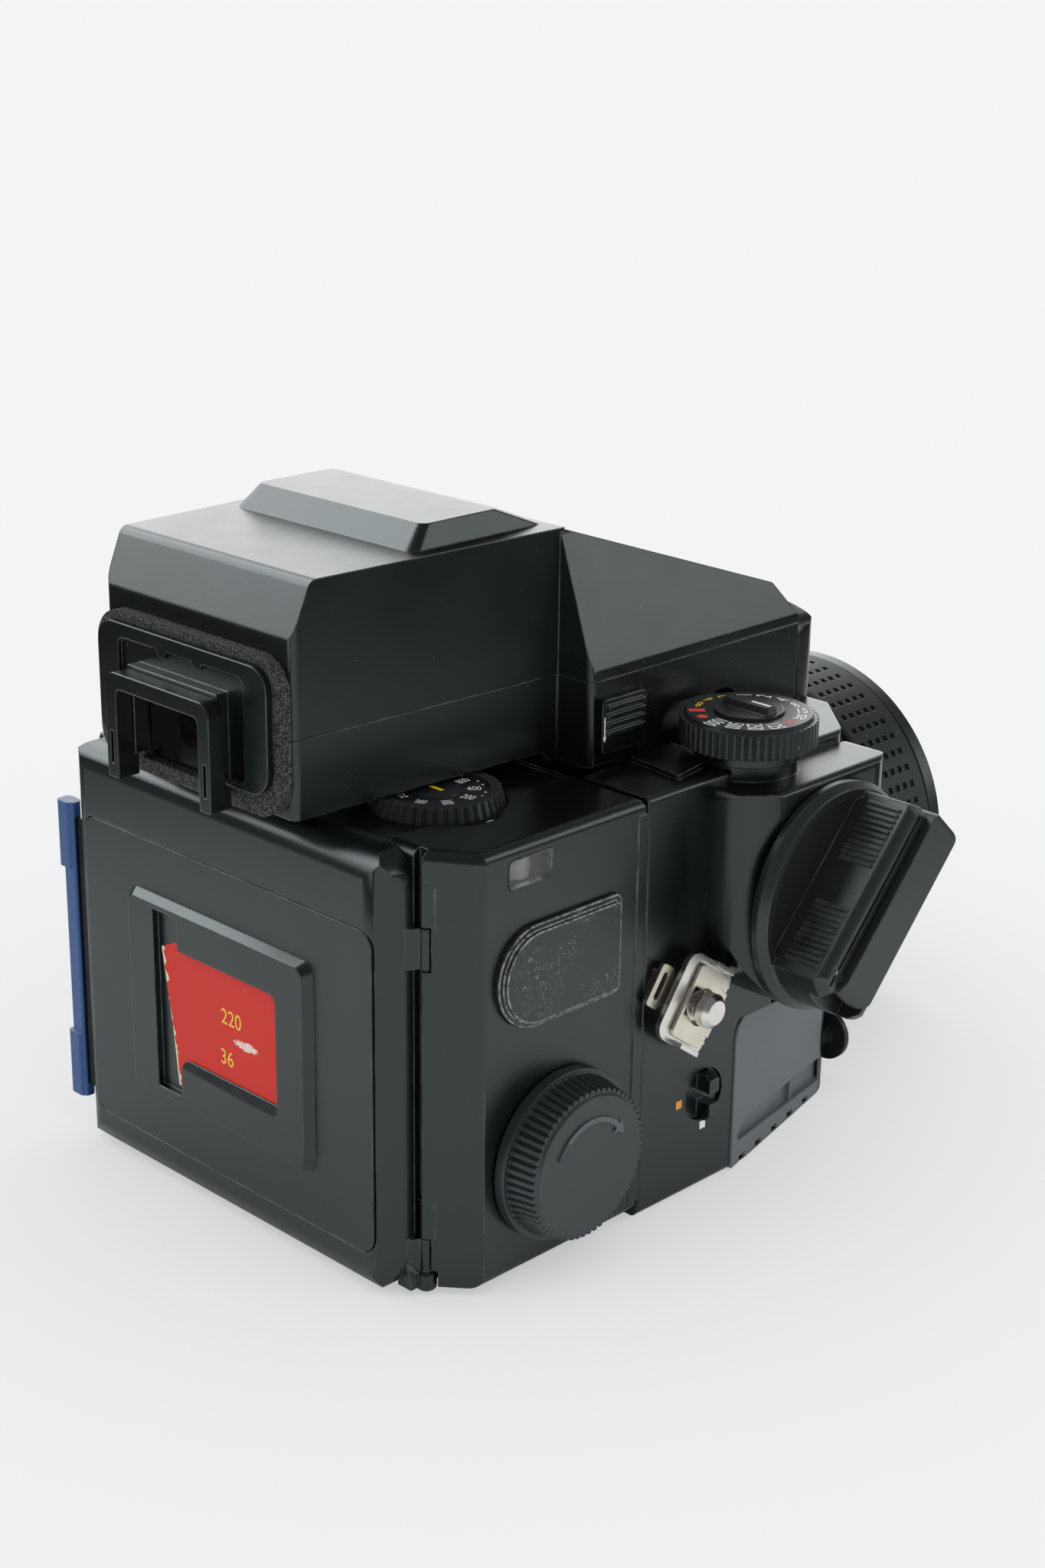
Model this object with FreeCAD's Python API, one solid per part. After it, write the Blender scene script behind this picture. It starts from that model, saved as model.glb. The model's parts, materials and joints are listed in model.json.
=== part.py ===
import FreeCAD, Part
import math
import os

os.makedirs("parts", exist_ok=True)
V = FreeCAD.Vector

# Medium format film camera. Millimetres. +Y is the lens axis to the front, +X the photographer's
# right, +Z up. The origin is the mouth of the tripod socket in the base plane.

# Clearances
FIT = 0.05            # running fit of a shaft or disc in its bore, radial
GAP = 0.3             # air between parts that move past each other
SEAT = 0.1            # air round a sheet or plate that lies in a pocket

# Body
BODY_LEFT = -41.2
BODY_RIGHT = 50.7
BODY_TOP = 78.0
BODY_REAR = -19.8
BODY_FRONT = 45.0
BODY_EDGE = 4.0       # radius of the bottom edge
BODY_CORNER = 8.0     # plan radius of the front left corner
GRIP_START = 5.0      # Y where the lower right side starts to slant inwards
GRIP_TURN = 13.5      # degrees of that slant
GRIP_TOP = 30.0       # height of the slanted stretch
GRIP_PANEL = 1.2      # thickness of the insert on it
GRIP_NOTCHES = 5
NOTCH_PITCH = 6.75
AXIS_Z = 37.0         # lens axis above the base
FLANGE_Y = 38.0       # lens mount flange
FILM_Y = -25.3        # film plane
GATE_W = 56.0
GATE_H = 41.5
GATE_CORNER = 1.0
INSIDE_HALF = 36.0    # half width of the chamber inside the body
FRONT_WALL = 6.0
BUSH_R = 8.0          # tripod bush
BUSH_HIGH = 7.0
STUD_SHAFT_R = 2.0
STUD_DEEP = 4.8       # length of a strap stud inside the wall
DIAL_SHAFT_R = 3.0
TAB_PLAN = [(35.2, -8.2), (48.2, -9.7), (46.6, -1.6), (35.2, 3.4)]
TAB_HIGH = 0.9
SIDE_HOLE = (9.6, 14.6, 30.2, 34.2)  # dark opening over the insert, along the slant and in height
LENS_LOCK_X = -36.6   # button that frees the lens, on the side that the photo hides
LENS_LOCK_Z = 17.0
LENS_LOCK_R = 3.0

# Mirror and screen
MIRROR_PIVOT_Y = -14.4
MIRROR_PIVOT_Z = 67.6
MIRROR_LONG = 46.5
MIRROR_WIDE = 50.0
MIRROR_THICK = 2.4
MIRROR_PIN_R = 1.0
BOX_HALF = 35.8       # mirror box and screen, half width outside
BOX_INNER = 32.4      # and inside
BOX_FLOOR = 9.2
MIRROR_PIN_HALF = 34.2
SHUTTER_DEEP = 1.2    # room for the shutter behind the mirror box
SCREEN_Z = 70.4
SCREEN_THICK = 1.6

# Crank housing, crank and dial
CRANK_Y = 15.7
CRANK_Z = 54.3
CRANK_TURN = -42.7    # degrees: how the bar leans in the photo
HOUSING_R = 20.6
HOUSING_FACE = 61.0
HOUSING_TOP = 76.0
HUB_BACK = 61.3
HUB_FRONT = 64.0
HUB_R = 20.7
BAR_HALF = 8.3
BAR_END_R = 19.2
BAR_FACE = 74.6
ARM_BACK = 71.0
ARM_FACE = 76.0
ARM_S0 = -3.5
ARM_S1 = 5.5
ARM_TOP = 19.4
ARM_PIVOT_T = -14.0
CRANK_KNOB_T = 11.5
CRANK_KNOB_R = 4.0
CRANK_SHAFT_R = 4.0
CRANK_SHAFT_END = 37.0
CRANK_PIN_R = 1.0
CRANK_RIBS = 11       # at each end of the bar
CRANK_RIB_PITCH = 1.09
KNOB_STUD_R = 1.4
DIAL_X = 47.5
DIAL_Y = 9.0
DIAL_R = 12.0
DIAL_BOTTOM = 80.8
DIAL_TOP = 86.0
DIAL_TEETH = 55
DIAL_BUTTON_R = 6.0
DIAL_BUTTON_TRAVEL = 1.2
DIAL_BUTTON_DEEP = 3.5
DIAL_STEM_R = 1.5
NECK_R = 9.4

# Magazine
MAG_REAR = -63.5
MAG_BOTTOM = 1.6
MAG_WALL = 3.0
MAG_SHUT_LINE = 0.3   # line between body and magazine
MAG_HOLLOW_X = 39.6
MAG_CHAMFER_Y = -58.3 # where the slanted corner meets the right side
MAG_FACET = (44.4, -62.45)  # where the deeper slant of its lower part starts
MAG_FACET_LOW = 37.0  # height up to which that is at its full depth
MAG_FACET_TOP = 41.5  # height at which it has faded out
MAG_EDGE = 1.8        # rounded top edge on the right
MAG_STEP = 0.8        # the top is lower round the film-speed dial
SPOOL_Y = -40.2
TAKEUP_Z = 21.0
SUPPLY_Z = 56.0
SPOOL_LONG = 61.7
SPOOL_MIDDLE = 0.4    # X of the spools' middle
SPOOL_FLANGE_R = 12.4
SPOOL_FLANGE = 0.9
SPOOL_STUB_R = 3.15
SPOOL_PLAY = 1.95     # from a spool's flange to the cheek beside it
CHEEK = 2.2           # end plates of the film insert
INSERT_REAR = -58.0
INSERT_FRONT = -27.5
DOG_SLOT = 1.2        # depth of the winding slot
SPOOL_CORE_R = 5.6
FILM_ROLL_R = 9.4
PLATE_HALF = 11.0     # half height of the pressure plate
WIND_R = 15.0
WIND_FACE_R = 12.9
WIND_OUT = 58.3
WIND_TEETH = 60
WIND_SHAFT_R = 3.0
WIND_ARROW_R = 8.6
ISO_X = 25.8
ISO_Y = -44.3
ISO_R = 11.6
ISO_TEETH = 40
ISO_DEEP = 1.6        # depth of its pocket
ISO_SHAFT_R = 2.0
ISO_FACE_R = 8.8      # sunk number face
ISO_BUTTON_R = 4.2
CAP_Y0 = -55.1        # round-ended plate on the right side
CAP_Y1 = -26.8
CAP_Z0 = 46.0
CAP_Z1 = 63.6
CAP_SUNK = 0.8
COUNTER_REAR = -52.3  # window of the frame counter on the right side
COUNTER_FRONT = -42.6
COUNTER_LOW = 70.6
COUNTER_HIGH = 75.5

# Rear cover
COVER_REAR = -70.0
COVER_LEFT = -41.2
COVER_RIGHT = 41.0
COVER_EDGE = 5.0
COVER_CORNER = 6.5    # its corners seen from behind
HINGE_GROOVE = 1.7    # open line between cover and magazine
HINGE_X = 42.6
HINGE_Y = -62.4
HINGE_KNUCKLE_R = 1.1
HINGE_PIN_R = 0.5
HINGE_LONG = 7.0      # one knuckle
HINGE_LOW = 3.0       # foot of the lower pair of knuckles
HINGE_HIGH = 58.0     # foot of the upper pair
HINGE_FOOT_R = 1.75   # round foot of the cover at the lower end of the hinge
HINGE_FOOT_LOW = 0.6
HINGE_FOOT_HIGH = 4.2
POCKET_X0 = -37.2     # pocket of the rear panel
POCKET_X1 = 38.2
POCKET_Z0 = 7.5
POCKET_Z1 = 64.8
POCKET_DEEP = 1.3
POCKET_CORNER = 3.0
POCKET_AIR = 0.2
SLIDE_THICK = 0.6     # dark slide blade
SLIDE_DEEP = 1.5      # depth at which it lies under the cover's rear face
SLIDE_Z0 = 10.0
SLIDE_Z1 = 62.2
SLIDE_X1 = 34.6
HANDLE_Z0 = 7.5
HANDLE_Z1 = 65.0
HANDLE_PAD = 12.5     # length of its thicker ends
LATCH_Y0 = -59.1      # catch of the rear cover, on the left side
LATCH_Y1 = -52.3
LATCH_Z0 = 34.0
LATCH_Z1 = 47.5
LATCH_DEEP = 1.2
LATCH_TRAVEL = 3.0
MEMO_X0 = -23.0       # face of the frame that holds the film packet's end
MEMO_X1 = 22.8
MEMO_Z0 = 18.3
MEMO_Z1 = 54.2
MEMO_THICK = 1.6
MEMO_FLOOR = 0.3
CARD_SLOT_X = -10.0   # where the tall slot ends and the window begins
CARD_THICK = 0.35
LIP_Z = 25.0          # top of the lip that keeps the card in
LIP_RISE = 2.0

# Finder
FINDER_HALF = 34.2
FINDER_REAR = -16.6
FINDER_NOSE = 38.4
FINDER_SEAM = 93.3
FINDER_ROOF = 118.5
FINDER_BACK = -72.8
FINDER_BACK_HALF = 23.7
FINDER_NECK_HALF = 26.4
FINDER_UNDER = 80.0
FINDER_HIGH = 125.0   # above all of it
ROOF_TOP = 122.3
ROOF_LEAN = 26.3      # half width of the flat top between the leaning sides
ROOF_BACK = -68.9     # where the roof meets the slanted rear
BACK_HIGH = 109.4     # where that rear slant starts
CHANNEL_HALF = 13.0   # light channel from the prism to the eyepiece
CHANNEL_LOW = 83.0
CHANNEL_HIGH = 98.0
PRISM_HALF = 21.0
PRISM_AIR = 0.6
COVER_NOSE = 46.8     # front of the nose cover
SLIDER_Y0 = -15.3
SLIDER_Y1 = -4.5
SLIDER_Z0 = 80.7
SLIDER_Z1 = 90.2

# Eyepiece
GASKET_HALF = 23.3
GASKET_TOP = 106.5
GASKET_REAR = -75.0
PLATE_REAR = -76.3
EYE_HALF = 10.2       # half width of its opening
EYE_TOP = 97.0
BLOCK_HALF = 11.4     # frame round the opening, on which the eyecup hooks
BLOCK_REAR = -77.9
BLOCK_LOW = 84.2
BLOCK_TOP = 99.2
CUP_REAR = -81.2
CUP_HALF = 13.3
CUP_TOP = 98.6

# Lens
LENS_R = 33.0
LENS_FRONT = 91.0
APERTURE_REAR = 46.7  # aperture ring
APERTURE_FRONT = 54.9
FOCUS_REAR = 60.8     # rear end of the focusing ring
SCALE_FRONT = 71.0    # where its smooth scale ends and the rubber starts
FOCUS_FRONT = 87.2
MOUNT_R = 30.0
MOUNT_THROAT = 26.5
MOUNT_RING_R = 34.4
MOUNT_RING_BACK = 35.6
MOUNT_RING_FRONT = 38.4
FOCUS_WALL = 8.0      # focusing ring with its rubber
BARREL_R = LENS_R - FOCUS_WALL
BARREL_WALL = 3.2
BARREL_FRONT = 86.0
GRIP_BANDS = 5
GRIP_PITCH = 2.9
FILTER_R = 28.6       # 58 mm filter thread, at its crests

# Tripod socket and battery
TRIPOD_R = 2.55       # quarter inch thread, at its crests
TRIPOD_DEPTH = 6.0
BATTERY_R = 6.5
BATTERY_LONG = 25.0
BATTERY_Y = 26.0
BATTERY_Z = 10.0
DOOR_HALF = 8.2       # half width of the battery cover
DOOR_RUN = 8.0        # how far it slides


def spot(axis, a, b, c):
    """Point whose plane coordinates are a, b and whose place along the axis is c."""
    if axis == "x":
        return V(c, a, b)
    if axis == "y":
        return V(a, c, b)
    return V(a, b, c)


def direction(axis):
    return {"x": V(1, 0, 0), "y": V(0, 1, 0), "z": V(0, 0, 1)}[axis]


def box(x0, x1, y0, y1, z0, z1):
    return Part.makeBox(x1 - x0, y1 - y0, z1 - z0, V(x0, y0, z0))


def rod(axis, a, b, radius, lo, hi):
    """Cylinder along an axis from lo to hi, centred at a, b in the plane across it."""
    return Part.makeCylinder(radius, hi - lo, spot(axis, a, b, lo), direction(axis))


def ring(axis, a, b, outer, inner, lo, hi):
    return rod(axis, a, b, outer, lo, hi).cut(rod(axis, a, b, inner, lo - 1, hi + 1))


def loop(axis, points, radii, at):
    """Closed wire through the points, each corner rounded by its radius (0 leaves it sharp)."""
    count = len(points)
    if not isinstance(radii, (list, tuple)):
        radii = [radii] * count
    edges = []
    ends = []
    for i in range(count):
        here = spot(axis, points[i][0], points[i][1], at)
        before = spot(axis, points[i - 1][0], points[i - 1][1], at)
        after = spot(axis, points[(i + 1) % count][0], points[(i + 1) % count][1], at)
        u = (before - here).normalize()
        w = (after - here).normalize()
        if radii[i] <= 0:
            ends.append((here, here))
            edges.append(None)
            continue
        half = u.getAngle(w) / 2
        back = radii[i] / math.tan(half)
        middle = (u + w).normalize()
        centre = here + middle * (radii[i] / math.sin(half))
        first = here + u * back
        last = here + w * back
        edges.append(Part.Arc(first, centre - middle * radii[i], last).toShape())
        ends.append((first, last))
    chain = []
    for i in range(count):
        if edges[i] is not None:
            chain.append(edges[i])
        start = ends[i][1]
        stop = ends[(i + 1) % count][0]
        if start.distanceToPoint(stop) > 1e-6:
            chain.append(Part.LineSegment(start, stop).toShape())
    return Part.Wire(chain)


def prism(axis, points, radii, lo, hi):
    """Solid of one rounded outline drawn across an axis, from lo to hi along it."""
    return Part.Face(loop(axis, points, radii, lo)).extrude(direction(axis) * (hi - lo))


def slab(axis, a0, a1, b0, b1, radius, lo, hi):
    """Rounded rectangle across an axis, from lo to hi along it."""
    return prism(axis, [(a0, b0), (a1, b0), (a1, b1), (a0, b1)], radius, lo, hi)


def skin(axis, outer, inner):
    """Tapered solid between two rectangles (a0, a1, b0, b1, radius, at)."""
    wires = []
    for a0, a1, b0, b1, radius, at in (outer, inner):
        wires.append(loop(axis, [(a0, b0), (a1, b0), (a1, b1), (a0, b1)], radius, at))
    return Part.makeLoft(wires, True, True)


def turned(axis, a, b, profile):
    """Solid of revolution; the profile holds (radius, place along the axis) corners."""
    points = []
    for radius, along in profile:
        if axis == "x":
            points.append(V(along, a, b + radius))
        elif axis == "y":
            points.append(V(a, along, b + radius))
        else:
            points.append(V(a + radius, b, along))
    points.append(points[0])
    return Part.Face(Part.makePolygon(points)).revolve(spot(axis, a, b, 0), direction(axis), 360)


def gear_wire(axis, a, b, tip, root, teeth, at):
    points = []
    for i in range(teeth):
        for part, radius in ((0.0, root), (0.28, tip), (0.72, tip)):
            angle = 2 * math.pi * (i + part) / teeth
            points.append(spot(axis, a + radius * math.cos(angle), b + radius * math.sin(angle), at))
    points.append(points[0])
    return Part.makePolygon(points)


def knurled(axis, a, b, low, high, teeth, depth):
    """Toothed solid between two (radius, place) ends, with teeth of one depth."""
    wires = [gear_wire(axis, a, b, r, r - depth, teeth, at) for r, at in (low, high)]
    return Part.makeLoft(wires, True, True)


def joined(first, *others):
    shape = first
    for other in others:
        shape = shape.fuse(other)
    return shape.removeSplitter()


def minus(first, *others):
    shape = first
    for other in others:
        shape = shape.cut(other)
    return shape


def both(first, *others):
    shape = first
    for other in others:
        shape = shape.common(other)
    return shape


def group(*shapes):
    return Part.makeCompound(list(shapes))


def save(name, shape):
    shape.exportStep("parts/" + name + ".step")
    print(name, len(shape.Solids), round(shape.Volume, 1), shape.isValid())


def on_grip(shape):
    """Take a shape drawn at the origin, with +Y along the slant, to the slanted lower right side."""
    shape.rotate(V(0, 0, 0), V(0, 0, 1), GRIP_TURN)
    shape.translate(V(BODY_RIGHT, GRIP_START, 0))
    return shape


def on_crank(shape):
    """Take a shape drawn with X outwards, Y across the bar and Z along it to the crank."""
    shape.rotate(V(0, 0, 0), V(1, 0, 0), CRANK_TURN)
    shape.translate(V(0, CRANK_Y, CRANK_Z))
    return shape


GRIP_END_X = BODY_RIGHT - math.tan(math.radians(GRIP_TURN)) * (BODY_FRONT - GRIP_START)
GRIP_LONG = (BODY_FRONT - GRIP_START) / math.cos(math.radians(GRIP_TURN))
SHOULDER_X = 36.1     # where the upper front corner starts
SHOULDER_Y = 31.6
RELEASE_X = 38.6
RELEASE_Z = 9.6
RELEASE_R = 5.2
RELEASE_SHAFT_R = 2.0
LEVER_Y = -2.9
LEVER_Z = 18.4
LEVER_R = 4.9
LEVER_SHAFT_R = 1.5
LEVER_OUT = 2.4       # how far its two lugs stand out
STUD_Y = -9.3
STUD_Z = 38.5
STUD_R = 3.0
BASE_PLATE = 2.0
BASE_BACK = -15.0
BASE_FRONT = 40.0
BASE_SLANT = 8.0
BASE_RIGHT = 44.0
BASE_LEFT = -36.0
SUMP = 4.0            # floor of the body over the base plate


def body_outline(z0, z1, corner_x, corner_y, corner_r):
    points = [(BODY_LEFT, BODY_REAR), (BODY_RIGHT, BODY_REAR), (BODY_RIGHT, corner_y),
              (corner_x, BODY_FRONT), (BODY_LEFT, BODY_FRONT)]
    return prism("z", points, [0.6, 0.6, corner_r, 3.5, BODY_CORNER], z0, z1)


def make_body():
    lower = body_outline(0, GRIP_TOP, GRIP_END_X, GRIP_START, 2)
    upper = body_outline(GRIP_TOP, BODY_TOP, SHOULDER_X, SHOULDER_Y, 6)
    frame_y = slab("y", BODY_LEFT, BODY_RIGHT, 0, BODY_TOP,
                   [BODY_EDGE, BODY_EDGE / 2, 1.4, 1.4], BODY_REAR, BODY_FRONT)
    frame_x = slab("x", BODY_REAR, BODY_FRONT, 0, BODY_TOP,
                   [0.3, BODY_EDGE, 2.5, 0.3], BODY_LEFT, BODY_RIGHT)
    shell = both(joined(lower, upper), frame_y, frame_x)
    tab = prism("z", TAB_PLAN, 0.6, BODY_TOP - 1, BODY_TOP + TAB_HIGH)
    shell = joined(shell, tab)
    hollow = box(-INSIDE_HALF, INSIDE_HALF, BODY_REAR - 1, BODY_FRONT - FRONT_WALL, SUMP + BASE_PLATE,
                 BODY_TOP + 2)
    throat = rod("y", 0, AXIS_Z, MOUNT_RING_R + SEAT, BODY_FRONT - FRONT_WALL - 1, BODY_FRONT + 1)
    sole = base_outline(-1, BASE_PLATE, SEAT)
    socket = rod("z", 0, 0, BUSH_R, 0, BUSH_HIGH)
    bay = box(-BATTERY_LONG / 2 - 1, BATTERY_LONG / 2 + 1, BATTERY_Y - BATTERY_R - 0.5,
              BATTERY_Y + BATTERY_R + 0.5, 0, BUSH_HIGH)
    panel = grip_panel_outline(-GRIP_PANEL, 3)
    shaft = rod("x", CRANK_Y, CRANK_Z, CRANK_SHAFT_R + FIT, CRANK_SHAFT_END - 2, BODY_RIGHT + 1)
    lever = rod("x", LEVER_Y, LEVER_Z, LEVER_R, BODY_RIGHT - 1.8, BODY_RIGHT + 1)
    lever_shaft = rod("x", LEVER_Y, LEVER_Z, LEVER_SHAFT_R + FIT, BODY_RIGHT - 8, BODY_RIGHT)
    stud = rod("x", STUD_Y, STUD_Z, STUD_SHAFT_R, BODY_RIGHT - STUD_DEEP - GAP, BODY_RIGHT + 1)
    stud_left = rod("x", STUD_Y, STUD_Z, STUD_SHAFT_R, BODY_LEFT - 1, BODY_LEFT + STUD_DEEP + GAP)
    window = on_grip(box(-2.4, 3, *SIDE_HOLE))
    release = rod("y", RELEASE_X, RELEASE_Z, RELEASE_SHAFT_R + FIT, BODY_FRONT - 9, BODY_FRONT + 1)
    lens_lock = rod("y", LENS_LOCK_X, LENS_LOCK_Z, LENS_LOCK_R + FIT, BODY_FRONT - 8, BODY_FRONT + 1)
    dial_shaft = rod("z", DIAL_X, DIAL_Y, DIAL_SHAFT_R + FIT, BODY_TOP - 12, BODY_TOP + 1)
    return minus(shell, hollow, throat, sole, socket, bay, panel, shaft, lever, lever_shaft, stud,
                 stud_left, window, release, lens_lock, dial_shaft)


def base_outline(z0, z1, air=0.0):
    """Outline of the base plate: its right side follows the slanted body side."""
    slant = math.tan(math.radians(GRIP_TURN)) * (BASE_FRONT - BASE_SLANT)
    left = BASE_LEFT - air
    right = BASE_RIGHT + air
    back = BASE_BACK - air
    front = BASE_FRONT + air
    points = [(left, back), (right, back), (right, BASE_SLANT), (right - slant, front), (left, front)]
    return prism("z", points, [4, 4, 2, 3, 4], z0, z1)


def grip_panel_outline(x0, x1, inset=0.0):
    points = [(inset, 0.5 + inset), (GRIP_LONG + 2, 0.5 + inset), (GRIP_LONG + 2, GRIP_TOP - inset),
              (inset, GRIP_TOP - inset)]
    plate = prism("x", points, [0.3, 0, 0, 4 - inset], x0, x1)
    return both(on_grip(plate), box(20, 60, GRIP_START - 2, BODY_FRONT - 3.6, 0, 40))


def make_grip_panel():
    """Insert of the slanted side: a long recess with a divider and a row of notches along its foot."""
    plate = grip_panel_outline(-GRIP_PANEL, 0.35, SEAT)
    slot = prism("x", [(1.0, 5.2), (38.8, 2.9), (38.4, 7.8), (5.0, 8.9)], [0.9, 2.2, 2.2, 3.0], -0.8, 1)
    deeper = prism("x", [(17.0, 4.6), (25.0, 4.1), (25.0, 8.0), (19.5, 8.2)], 0.4, -1.0, 1)
    rib = box(-1.0, -0.05, 25.0, 25.7, 3.6, 8.4)
    plate = joined(minus(plate, on_grip(slot), on_grip(deeper)), on_grip(rib))
    notches = [on_grip(box(-0.6, 1, 3.2 + NOTCH_PITCH * i, 5.6 + NOTCH_PITCH * i, -1, 1.7))
               for i in range(GRIP_NOTCHES)]
    return minus(plate, *notches)


def make_crank_housing():
    low = rod("x", CRANK_Y, CRANK_Z, HOUSING_R, BODY_RIGHT, HOUSING_FACE)
    rear = CRANK_Y - HOUSING_R
    front = CRANK_Y + HOUSING_R
    high = slab("x", rear, front, CRANK_Z, HOUSING_TOP, [0, 0, 5, 2.5], BODY_RIGHT, HOUSING_FACE)
    plan = prism("z", [(BODY_RIGHT, rear), (HOUSING_FACE, rear), (HOUSING_FACE, front - 4),
                       (BODY_RIGHT, front)], [0, 9.5, 7, 0], CRANK_Z - HOUSING_R - 1, HOUSING_TOP)
    edge = slab("y", BODY_RIGHT - 1, HOUSING_FACE, CRANK_Z - 30, HOUSING_TOP, [0, 0, 1.5, 0],
                rear - 1, front + 1)
    side = both(joined(low, high), joined(plan, rod("x", CRANK_Y, CRANK_Z, 15, BODY_RIGHT,
                                                    HOUSING_FACE)), edge)
    neck = rod("z", DIAL_X, DIAL_Y, NECK_R, BODY_TOP + 0.6, DIAL_BOTTOM - 0.4)
    foot = rod("z", DIAL_X, DIAL_Y, NECK_R - 0.6, HOUSING_TOP - 2, BODY_TOP + 0.6)
    outer_foot = minus(foot, box(0, BODY_RIGHT, -40, 60, 0, BODY_TOP))
    shell = joined(side, outer_foot, neck)
    shaft = rod("x", CRANK_Y, CRANK_Z, CRANK_SHAFT_R + FIT, BODY_RIGHT - 1, HOUSING_FACE + 1)
    dial_shaft = rod("z", DIAL_X, DIAL_Y, DIAL_SHAFT_R + FIT, BODY_TOP - 12, DIAL_BOTTOM)
    return minus(shell, shaft, dial_shaft)


def make_shutter_dial():
    disc = knurled("z", DIAL_X, DIAL_Y, (DIAL_R, DIAL_BOTTOM), (DIAL_R, DIAL_TOP - 0.7), DIAL_TEETH, 0.5)
    cap = turned("z", DIAL_X, DIAL_Y, [(0, DIAL_TOP - 0.9), (DIAL_R - 0.5, DIAL_TOP - 0.9),
                                       (DIAL_R - 1.2, DIAL_TOP), (0, DIAL_TOP)])
    shaft = rod("z", DIAL_X, DIAL_Y, DIAL_SHAFT_R, BODY_TOP - 9, DIAL_BOTTOM + 0.5)
    pocket = rod("z", DIAL_X, DIAL_Y, DIAL_BUTTON_R + FIT, DIAL_TOP - DIAL_BUTTON_DEEP, DIAL_TOP + 1)
    stem = rod("z", DIAL_X, DIAL_Y, DIAL_STEM_R + FIT, DIAL_BOTTOM - 1, DIAL_TOP)
    return minus(joined(disc, cap, shaft), pocket, stem)


def make_dial_button():
    low = DIAL_TOP - DIAL_BUTTON_DEEP + DIAL_BUTTON_TRAVEL + 0.2
    disc = rod("z", DIAL_X, DIAL_Y, DIAL_BUTTON_R, low, DIAL_TOP + 0.5)
    bar = skin("z", (DIAL_X - 5.2, DIAL_X + 5.2, DIAL_Y - 1.7, DIAL_Y + 1.7, 0.6, DIAL_TOP + 0.4),
               (DIAL_X - 4.8, DIAL_X + 4.8, DIAL_Y - 1.0, DIAL_Y + 1.0, 0.4, DIAL_TOP + 1.8))
    stem = rod("z", DIAL_X, DIAL_Y, DIAL_STEM_R, DIAL_BOTTOM + DIAL_BUTTON_TRAVEL - 0.3, low + 0.2)
    return joined(disc, bar, stem)


def make_crank_hub():
    flange = turned("x", 0, 0, [(0, HUB_BACK), (HUB_R, HUB_BACK), (HUB_R, HUB_BACK + 1.2),
                                (HUB_R - 1.1, HUB_FRONT), (HUB_R - 2.6, HUB_FRONT),
                                (HUB_R - 3.2, HUB_FRONT - 1.0), (0, HUB_FRONT - 1.0)])
    bar = slab("x", -BAR_HALF, BAR_HALF, -BAR_END_R, BAR_END_R, 2.2, HUB_FRONT - 1.5, BAR_FACE)
    bar = both(bar, turned("x", 0, 0, [(0, HUB_FRONT - 1.5), (BAR_END_R, HUB_FRONT - 1.5),
                                       (BAR_END_R, BAR_FACE - 1.8), (BAR_END_R - 1.4, BAR_FACE),
                                       (0, BAR_FACE)]))
    edge = slab("z", HUB_FRONT - 6, BAR_FACE, -BAR_HALF, BAR_HALF, [0, 1.6, 1.6, 0], -30, 30)
    bar = both(bar, edge)
    recess = box(ARM_BACK - 0.5, BAR_FACE + 1, ARM_S0 - 0.6, ARM_S1 + 0.6, -30, 30)
    middle = (ARM_S0 + ARM_S1) / 2
    nest_floor = HUB_FRONT + 0.4
    nest = box(nest_floor, BAR_FACE + 1, middle - CRANK_KNOB_R - 0.6, middle + CRANK_KNOB_R + 0.6,
               CRANK_KNOB_T - CRANK_KNOB_R - 1.0, 30)
    groove = box(BAR_FACE - 0.7, BAR_FACE + 1, -6.0, -5.3, -BAR_END_R + 2.5, BAR_END_R - 2.5)
    ribs = []
    for i in range(CRANK_RIBS):
        for start in (4.4, -15.3):
            t = start + CRANK_RIB_PITCH * i
            ribs.append(box(HUB_FRONT + 1.6, BAR_FACE - 2.2, -BAR_HALF - 0.4, -BAR_HALF + 0.3, t, t + 0.55))
    shaft = rod("x", 0, 0, CRANK_SHAFT_R, CRANK_SHAFT_END, HUB_BACK + 0.5)
    hub = minus(joined(flange, bar), recess, nest, groove)
    hub = joined(hub, shaft, *ribs)
    return minus(on_crank(hub), make_crank_pin())


def make_crank_pin():
    return on_crank(rod("y", (ARM_BACK + ARM_FACE) / 2, ARM_PIVOT_T, CRANK_PIN_R, -BAR_HALF + 1.2,
                        BAR_HALF - 1.2))


def make_crank_arm():
    mid = (ARM_BACK + ARM_FACE) / 2
    half = (ARM_FACE - ARM_BACK) / 2
    side = prism("y", [(ARM_BACK, ARM_PIVOT_T - half), (ARM_FACE, ARM_PIVOT_T - half),
                       (ARM_FACE, ARM_TOP), (ARM_BACK, ARM_TOP)], [half - 0.1, half - 0.1, 1.4, 0.5],
                 ARM_S0, ARM_S1)
    face = prism("x", [(ARM_S0, ARM_PIVOT_T - half), (ARM_S1, ARM_PIVOT_T - half), (ARM_S1, ARM_TOP),
                       (ARM_S0, ARM_TOP)], [2.0, 2.0, 2.2, 2.2], ARM_BACK, ARM_FACE)
    arm = both(side, face)
    middle = (ARM_S0 + ARM_S1) / 2
    stud = rod("x", middle, CRANK_KNOB_T, KNOB_STUD_R, HUB_FRONT + 1.7, ARM_BACK + 0.5)
    head = rod("x", middle, CRANK_KNOB_T, 2.4, HUB_FRONT + 0.8, HUB_FRONT + 1.8)
    hole = rod("y", mid, ARM_PIVOT_T, CRANK_PIN_R + FIT, ARM_S0 - 1, ARM_S1 + 1)
    return on_crank(minus(joined(arm, stud, head), hole))


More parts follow.
